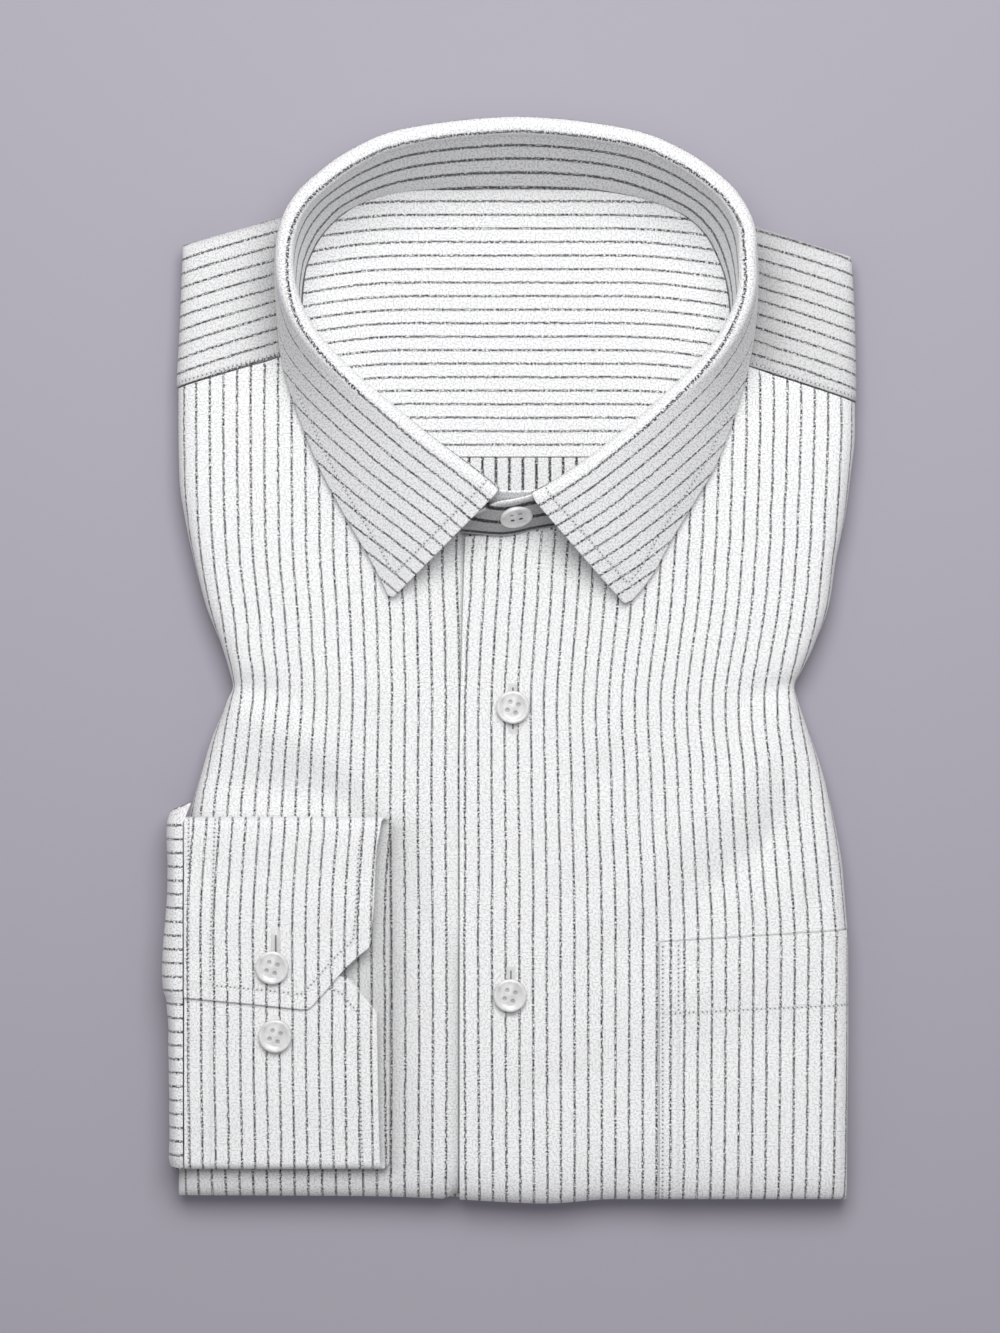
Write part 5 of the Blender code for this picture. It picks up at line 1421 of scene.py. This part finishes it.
# the cloth's look; the dark colour is painted shade, which edgeShade lays along edges laid on the cloth
# and seamShade lays in its seam furrows
clothLook = {"white": (0.86, 0.86, 0.865, 1.0), "shadow": (0.6, 0.6, 0.61, 1.0),
             "stripe": (0.02, 0.02, 0.024, 1.0), "dark": (0.03, 0.03, 0.033, 1.0),
             "stripeFull": 0.27, "stripeEnds": 0.594, "wander": 0.35, "ragged": 0.42, "wider": 0.25,
             "dash": 0.76, "dashSlant": 0.9, "dashNotch": 0.26, "dashFade": 0.3, "yarn": 0.68,
             "yarnUneven": 3.2, "tone": 0.74, "slub": 0.7, "grain": 3.6, "twill": 0.62,
             "twillLean": 0.8, "twillTone": 0.16, "edgeReach": 0.8, "edgeShade": 0.4,
             "seamFrom": 0.05, "seamTo": 1.1, "seamShade": 0.1, "rough": 0.8, "bump": 0.5,
             "bumpDepth": 0.00014, "twillRelief": 0.3, "slubRelief": 0.6, "grainRelief": 0.5,
             "furrow": 1.0, "wanderScale": 0.06, "raggedScale": 2.2, "yarnScale": 1.6,
             "slubScale": 1.0, "slubStretch": (2.2, 0.35, 1.0), "grainScale": 1.8}


def makeClothMaterial():
    material, shader, shade = newMaterial("shirtCloth", {
        "Roughness": clothLook["rough"], "Specular IOR Level": 0.35, "Sheen Weight": 0.2,
        "Sheen Roughness": 0.45})
    where = shade.node("ShaderNodeUVMap", {"uv_map": "cloth"})
    acrossWay = where.node("ShaderNodeSeparateXYZ", None, {"Vector": where})
    alongWay = Shade(where.tree, acrossWay.socket.node.outputs[1])

    def cloudy(scale, detail=2.0, stretch=(1.0, 1.0, 1.0)):
        spaced = where.node("ShaderNodeMapping", None, {"Vector": where, "Scale": stretch})
        return where.node("ShaderNodeTexNoise", {"noise_dimensions": "2D"},
                          {"Vector": spaced, "Scale": scale, "Detail": detail})

    def mark(name):
        return where.node("ShaderNodeAttribute", {"attribute_name": name}, output=2)

    def uneven(cloud, strength):
        # a cloud about its middle, as strong as this
        return (cloud - 0.5) * strength

    look = clothLook
    weight = mark("weight")
    # the dark yarns: slanted dashes, ragged at their sides
    across = acrossWay + uneven(cloudy(look["wanderScale"]), look["wander"])
    signed = ((across / stripePitch + 0.5).fraction() - 0.5) * stripePitch
    dashPhase = ((alongWay + signed * look["dashSlant"]) / look["dash"]).fraction()
    dash = abs(dashPhase - 0.5) * 2.0
    away = (abs(signed) * (mark("stretch") + 1.0)
            + uneven(cloudy(look["raggedScale"], 3.0), look["ragged"])
            + uneven(dash, look["dashNotch"]) - weight * look["wider"])
    stripe = 1.0 - away.ramp(look["stripeFull"], look["stripeEnds"])
    yarn = uneven(cloudy(look["yarnScale"], 1.0), look["yarnUneven"])
    yarn = yarn - uneven(dash, look["dashFade"])
    yarn = stripe * (look["yarn"] + yarn)
    # the white ground, darkened with painted shade beside what lies on it and in its seam furrows
    slub = cloudy(look["slubScale"], 3.0, look["slubStretch"])
    grain = cloudy(look["grainScale"], 0.0)
    twill = abs(((acrossWay + alongWay * look["twillLean"]) / look["twill"]).fraction() - 0.5) * 2.0
    tone = (look["tone"] + uneven(slub, look["slub"]) + uneven(grain, look["grain"])
            + uneven(twill, look["twillTone"]))
    ground = tone.ramp(0.0, 1.0).mixColour(look["shadow"], look["white"])
    # a painted shadow line along an edge laid on the cloth
    edge = 1.0 - abs(mark("fromEdge") - 2.0 * seamReach).ramp(0.0, look["edgeReach"])
    # painted shade in the seam furrows, which the bump also presses in
    furrow = 1.0 - abs(mark("fromSeam") - 2.0 * seamReach).ramp(look["seamFrom"], look["seamTo"])
    paintedShade = mark("paintedShade") + edge * look["edgeShade"] + furrow * look["seamShade"]
    ground = paintedShade.mixColour(ground, look["dark"])
    colour = (yarn + weight * stripe).ramp(0.0, 1.0).mixColour(ground, look["stripe"])
    feed(colour, shader, "Base Color")
    relief = (twill * look["twillRelief"] + slub * look["slubRelief"] + grain * look["grainRelief"]
              - furrow * look["furrow"])
    bumped = relief.node("ShaderNodeBump", None, {
        "Strength": look["bump"], "Distance": look["bumpDepth"], "Height": relief})
    feed(bumped, shader, "Normal")
    return material


# the thread's colours; the hole colour is the painted shade of needle holes and buttonhole slits
threadLook = {"dark": (0.62, 0.62, 0.62, 1.0), "light": (0.88, 0.88, 0.88, 1.0),
              "hole": (0.16, 0.16, 0.17, 1.0), "twist": 2500.0}


def makeThreadMaterial():
    material, shader, shade = newMaterial("sewingThread", {
        "Roughness": 0.6, "Specular IOR Level": 0.4, "Sheen Weight": 0.2})
    where = shade.node("ShaderNodeUVMap", {"uv_map": "cloth"})
    apart = where.node("ShaderNodeSeparateXYZ", None, {"Vector": where})
    hole = Shade(where.tree, apart.socket.node.outputs[1])
    solid = shade.node("ShaderNodeTexCoord", output=3)
    twist = shade.node("ShaderNodeTexNoise", None, {
        "Vector": solid, "Scale": threadLook["twist"], "Detail": 1.0})
    thread = twist.mixColour(threadLook["dark"], threadLook["light"])
    feed(hole.mixColour(thread, threadLook["hole"]), shader, "Base Color")
    return material


# the pearl's colours; the hole colour paints shade into the holes, and the buttons give off a faint
# painted glow
pearlLook = {"dark": (0.44, 0.44, 0.45, 1.0), "light": (0.76, 0.76, 0.75, 1.0),
             "hole": (0.16, 0.16, 0.16, 1.0), "holeShade": 0.55, "swirl": 0.09, "swirlTone": 0.8,
             "fleck": 0.5, "fleckTone": 0.5, "toneFrom": 0.2, "toneTo": 1.1, "rough": 0.22,
             "roughUneven": 0.2, "paintedGlow": 0.1}


def makePearlMaterial():
    # mother-of-pearl: pale, in faint wide swirls, under a gloss, with painted shade in its holes and a
    # faint painted glow
    material, shader, shade = newMaterial("buttonPearl", {
        "Specular IOR Level": 0.5, "Coat Weight": 0.6, "Coat Roughness": 0.12,
        "Emission Strength": pearlLook["paintedGlow"]})
    where = shade.node("ShaderNodeUVMap", {"uv_map": "cloth"})
    swirl = where.node("ShaderNodeTexNoise", {"noise_dimensions": "2D"},
                       {"Vector": where, "Scale": pearlLook["swirl"], "Detail": 1.0,
                        "Distortion": 0.5})
    fleck = where.node("ShaderNodeTexNoise", {"noise_dimensions": "2D"},
                       {"Vector": where, "Scale": pearlLook["fleck"], "Detail": 2.0})
    tone = swirl * pearlLook["swirlTone"] + fleck * pearlLook["fleckTone"]
    tone = tone.ramp(pearlLook["toneFrom"], pearlLook["toneTo"])
    pearl = tone.mixColour(pearlLook["dark"], pearlLook["light"])
    pit = where.node("ShaderNodeAttribute", {"attribute_name": "inHole"}, output=2)
    colour = (pit * pearlLook["holeShade"]).mixColour(pearl, pearlLook["hole"])
    feed(colour, shader, "Base Color")
    # the buttons give off a faint painted glow in their own colour
    feed(colour, shader, "Emission Color")
    feed(pearlLook["rough"] + fleck * pearlLook["roughUneven"], shader, "Roughness")
    return material


shirtCloth = makeClothMaterial()
sewingThread = makeThreadMaterial()
buttonPearl = makePearlMaterial()
print("materials made")

points, coordinates = panelGrid(frontLines("right"), upperFrontHeight,
                                lambda x, y: frontCloth("right", x, y), bottomY)
frontUpper = clothShell("front_over", points, coordinates, body["wall"], outward=1.0,
                        marks={"fromEdge": aroundPocket(points)})
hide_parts("front_left")
work = SewnWork()
for hole in frontHoles:
    sewButtonhole(work, hole, upperFrontHeight)
frontThreads = work.finish("front_buttonholes")
points, coordinates = panelGrid(frontLines("left"), lowerFrontHeight,
                                lambda x, y: frontCloth("left", x, y), lowerFrontBottom)
frontLower = clothShell("front_under", points, coordinates, body["wall"], outward=-1.0,
                        marks=besideLaid(points))
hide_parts("front_right")
print("fronts made")

points, coordinates = panelGrid(yokeLines(), bodyHeight, yokeCloth)
rows = yokeSeams(points)
yokeOuter = clothShell("yoke", points, coordinates, body["wall"], outward=-1.0,
                       marks={"fromSeam": rows[0][0], "paintedShade": yokePaintedShade(points)})
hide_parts("yoke_outer")
yokeThreads = sewRows(raised(points, body["wall"]), rows).finish("yoke_stitches")
points, coordinates = neckGrid(neck["topY"], neck["seamY"], neck["yokeRows"], innerYokeCloth)
yokeInner = clothShell("yoke_lining", points, coordinates, neck["wall"], outward=-1.0)
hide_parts("yoke_inner")
points, coordinates = neckGrid(neck["seamY"] - neck["seamGap"], neck["endY"], neck["backRows"],
                               innerBackCloth)
# the back's inside strip gets an even painted shade
backInner = clothShell("back_inside", points, coordinates, neck["wall"], outward=-1.0,
                       marks={"paintedShade": wholeGrid(points) * neck["backDim"],
                              "weight": wholeGrid(points) * neck["backWeight"]})
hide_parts("back_inner")
print("yoke and neck made")

points, coordinates, marks = bandGrid()
collarBand = clothShell("collar_band", points, coordinates, band["wall"], centred=True, marks=marks)
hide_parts("collar_stand")
points, coordinates = leafGrid()
rows = leafSeams(points)
collarTurn = clothShell("collar_turned", points, coordinates, leaf["wall"], outward=-1.0,
                        marks={"fromSeam": rows[0][0], "stretch": stripeStretch(points, coordinates)})
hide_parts("collar_leaf")
leafThreads = sewRows(raised(points, leaf["wall"]), rows).finish("collar_stitches")
print("collar made")

points, coordinates = sleeveGrid()
sleevePiece = clothShell("sleeve_end", points, coordinates, sleeve["wall"], outward=1.0)
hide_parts("sleeve")
points, coordinates, paintedShade = cuffGrid()
rows = cuffSeams(points)
cuffPiece = clothShell("cuff_band", points, coordinates, cuff["wall"], outward=1.0,
                       marks={"fromSeam": nearestField([field for field, clear in rows]), "paintedShade": paintedShade})
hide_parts("cuff")
work = sewRows(points, rows)
sewButtonhole(work, cuffHole, lambda x, y: cuff["upperTop"] + cuffDome(y))
cuffThreads = work.finish("cuff_stitches")
points, coordinates = pocketGrid()
rows = pocketSeams(points)
pocketPiece = clothShell("chest_pocket", points, coordinates, pocket["wall"], outward=1.0,
                         marks={"fromSeam": nearestField([field for field, clear in rows])})
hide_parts("pocket")
pocketThreads = sewRows(points, rows).finish("pocket_stitches")
foldedLayers = makeFoldedLayers("folded_layers")
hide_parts("folded_core")
print("sleeve, cuff, pocket and layers made")

for row in buttonRows:
    makeButton(row)
print("buttons made")

floorLook = {"first": (0.342, 0.332, 0.388, 1.0), "second": (0.350, 0.325, 0.380, 1.0),
             "rough": 0.7, "size": 12.0, "cloudScale": 1.5, "cloudy": 0.3, "even": 0.35}
# the soft lamp: where it is and where it points, in metres, and the pale room round it
lampLook = {"at": (0.02, 0.44, 1.0), "towards": (0.0, 0.04, 0.0), "size": 0.8, "power": 11.5,
            "colour": (1.0, 1.0, 0.99)}
roomLook = {"colour": (0.97, 0.97, 1.0, 1.0), "strength": 0.37}


def makeFloor():
    material, shader, shade = newMaterial("paleFloor", {"Roughness": floorLook["rough"]})
    where = shade.node("ShaderNodeTexCoord", output=3)
    cloudy = where.node("ShaderNodeTexNoise", None, {
        "Vector": where, "Scale": floorLook["cloudScale"], "Detail": 1.0})
    share = cloudy * floorLook["cloudy"] + floorLook["even"]
    tone = share.mixColour(floorLook["first"], floorLook["second"])
    feed(tone, shader, "Base Color")
    bpy.ops.mesh.primitive_plane_add(size=floorLook["size"])
    floor = bpy.context.object
    floor.name = "floor"
    floor.data.materials.append(material)


def makeLamp():
    data = bpy.data.lights.new("softLamp", "AREA")
    data.shape = "DISK"
    data.size = lampLook["size"]
    data.energy = lampLook["power"]
    data.color = lampLook["colour"]
    lamp = bpy.data.objects.new("softLamp", data)
    lamp.location = lampLook["at"]
    lamp.rotation_mode = "QUATERNION"
    way = Vector(lampLook["towards"]) - Vector(lampLook["at"])
    lamp.rotation_quaternion = way.to_track_quat("-Z", "Y")
    bpy.context.scene.collection.objects.link(lamp)


makeFloor()
makeLamp()
world = bpy.data.worlds.new("softRoom")
world.use_nodes = True
background = world.node_tree.nodes["Background"]
background.inputs["Color"].default_value = roomLook["colour"]
background.inputs["Strength"].default_value = roomLook["strength"]
bpy.context.scene.world = world
bpy.context.scene.view_settings.view_transform = "Standard"

# the camera looks straight down; one of its pixels covers this much at the chest's height, in mm
cameraLook = {"x": -3.425, "y": -0.775, "height": 1600.0, "pixel": 0.35, "imageLong": 1333.0,
              "sensor": 36.0, "farthest": 20.0}
cameraData = bpy.data.cameras.new("camera")
cameraData.sensor_fit = "VERTICAL"
cameraData.sensor_height = cameraLook["sensor"]
cameraData.sensor_width = cameraLook["sensor"]
cameraData.lens = (cameraLook["sensor"] * (cameraLook["height"] - body["chest"])
                   / (cameraLook["imageLong"] * cameraLook["pixel"]))
cameraData.clip_end = cameraLook["farthest"]
camera = bpy.data.objects.new("camera", cameraData)
camera.location = (cameraLook["x"] * mm, cameraLook["y"] * mm, cameraLook["height"] * mm)
bpy.context.scene.collection.objects.link(camera)
bpy.context.scene.camera = camera
print("floor, lamp and camera made")
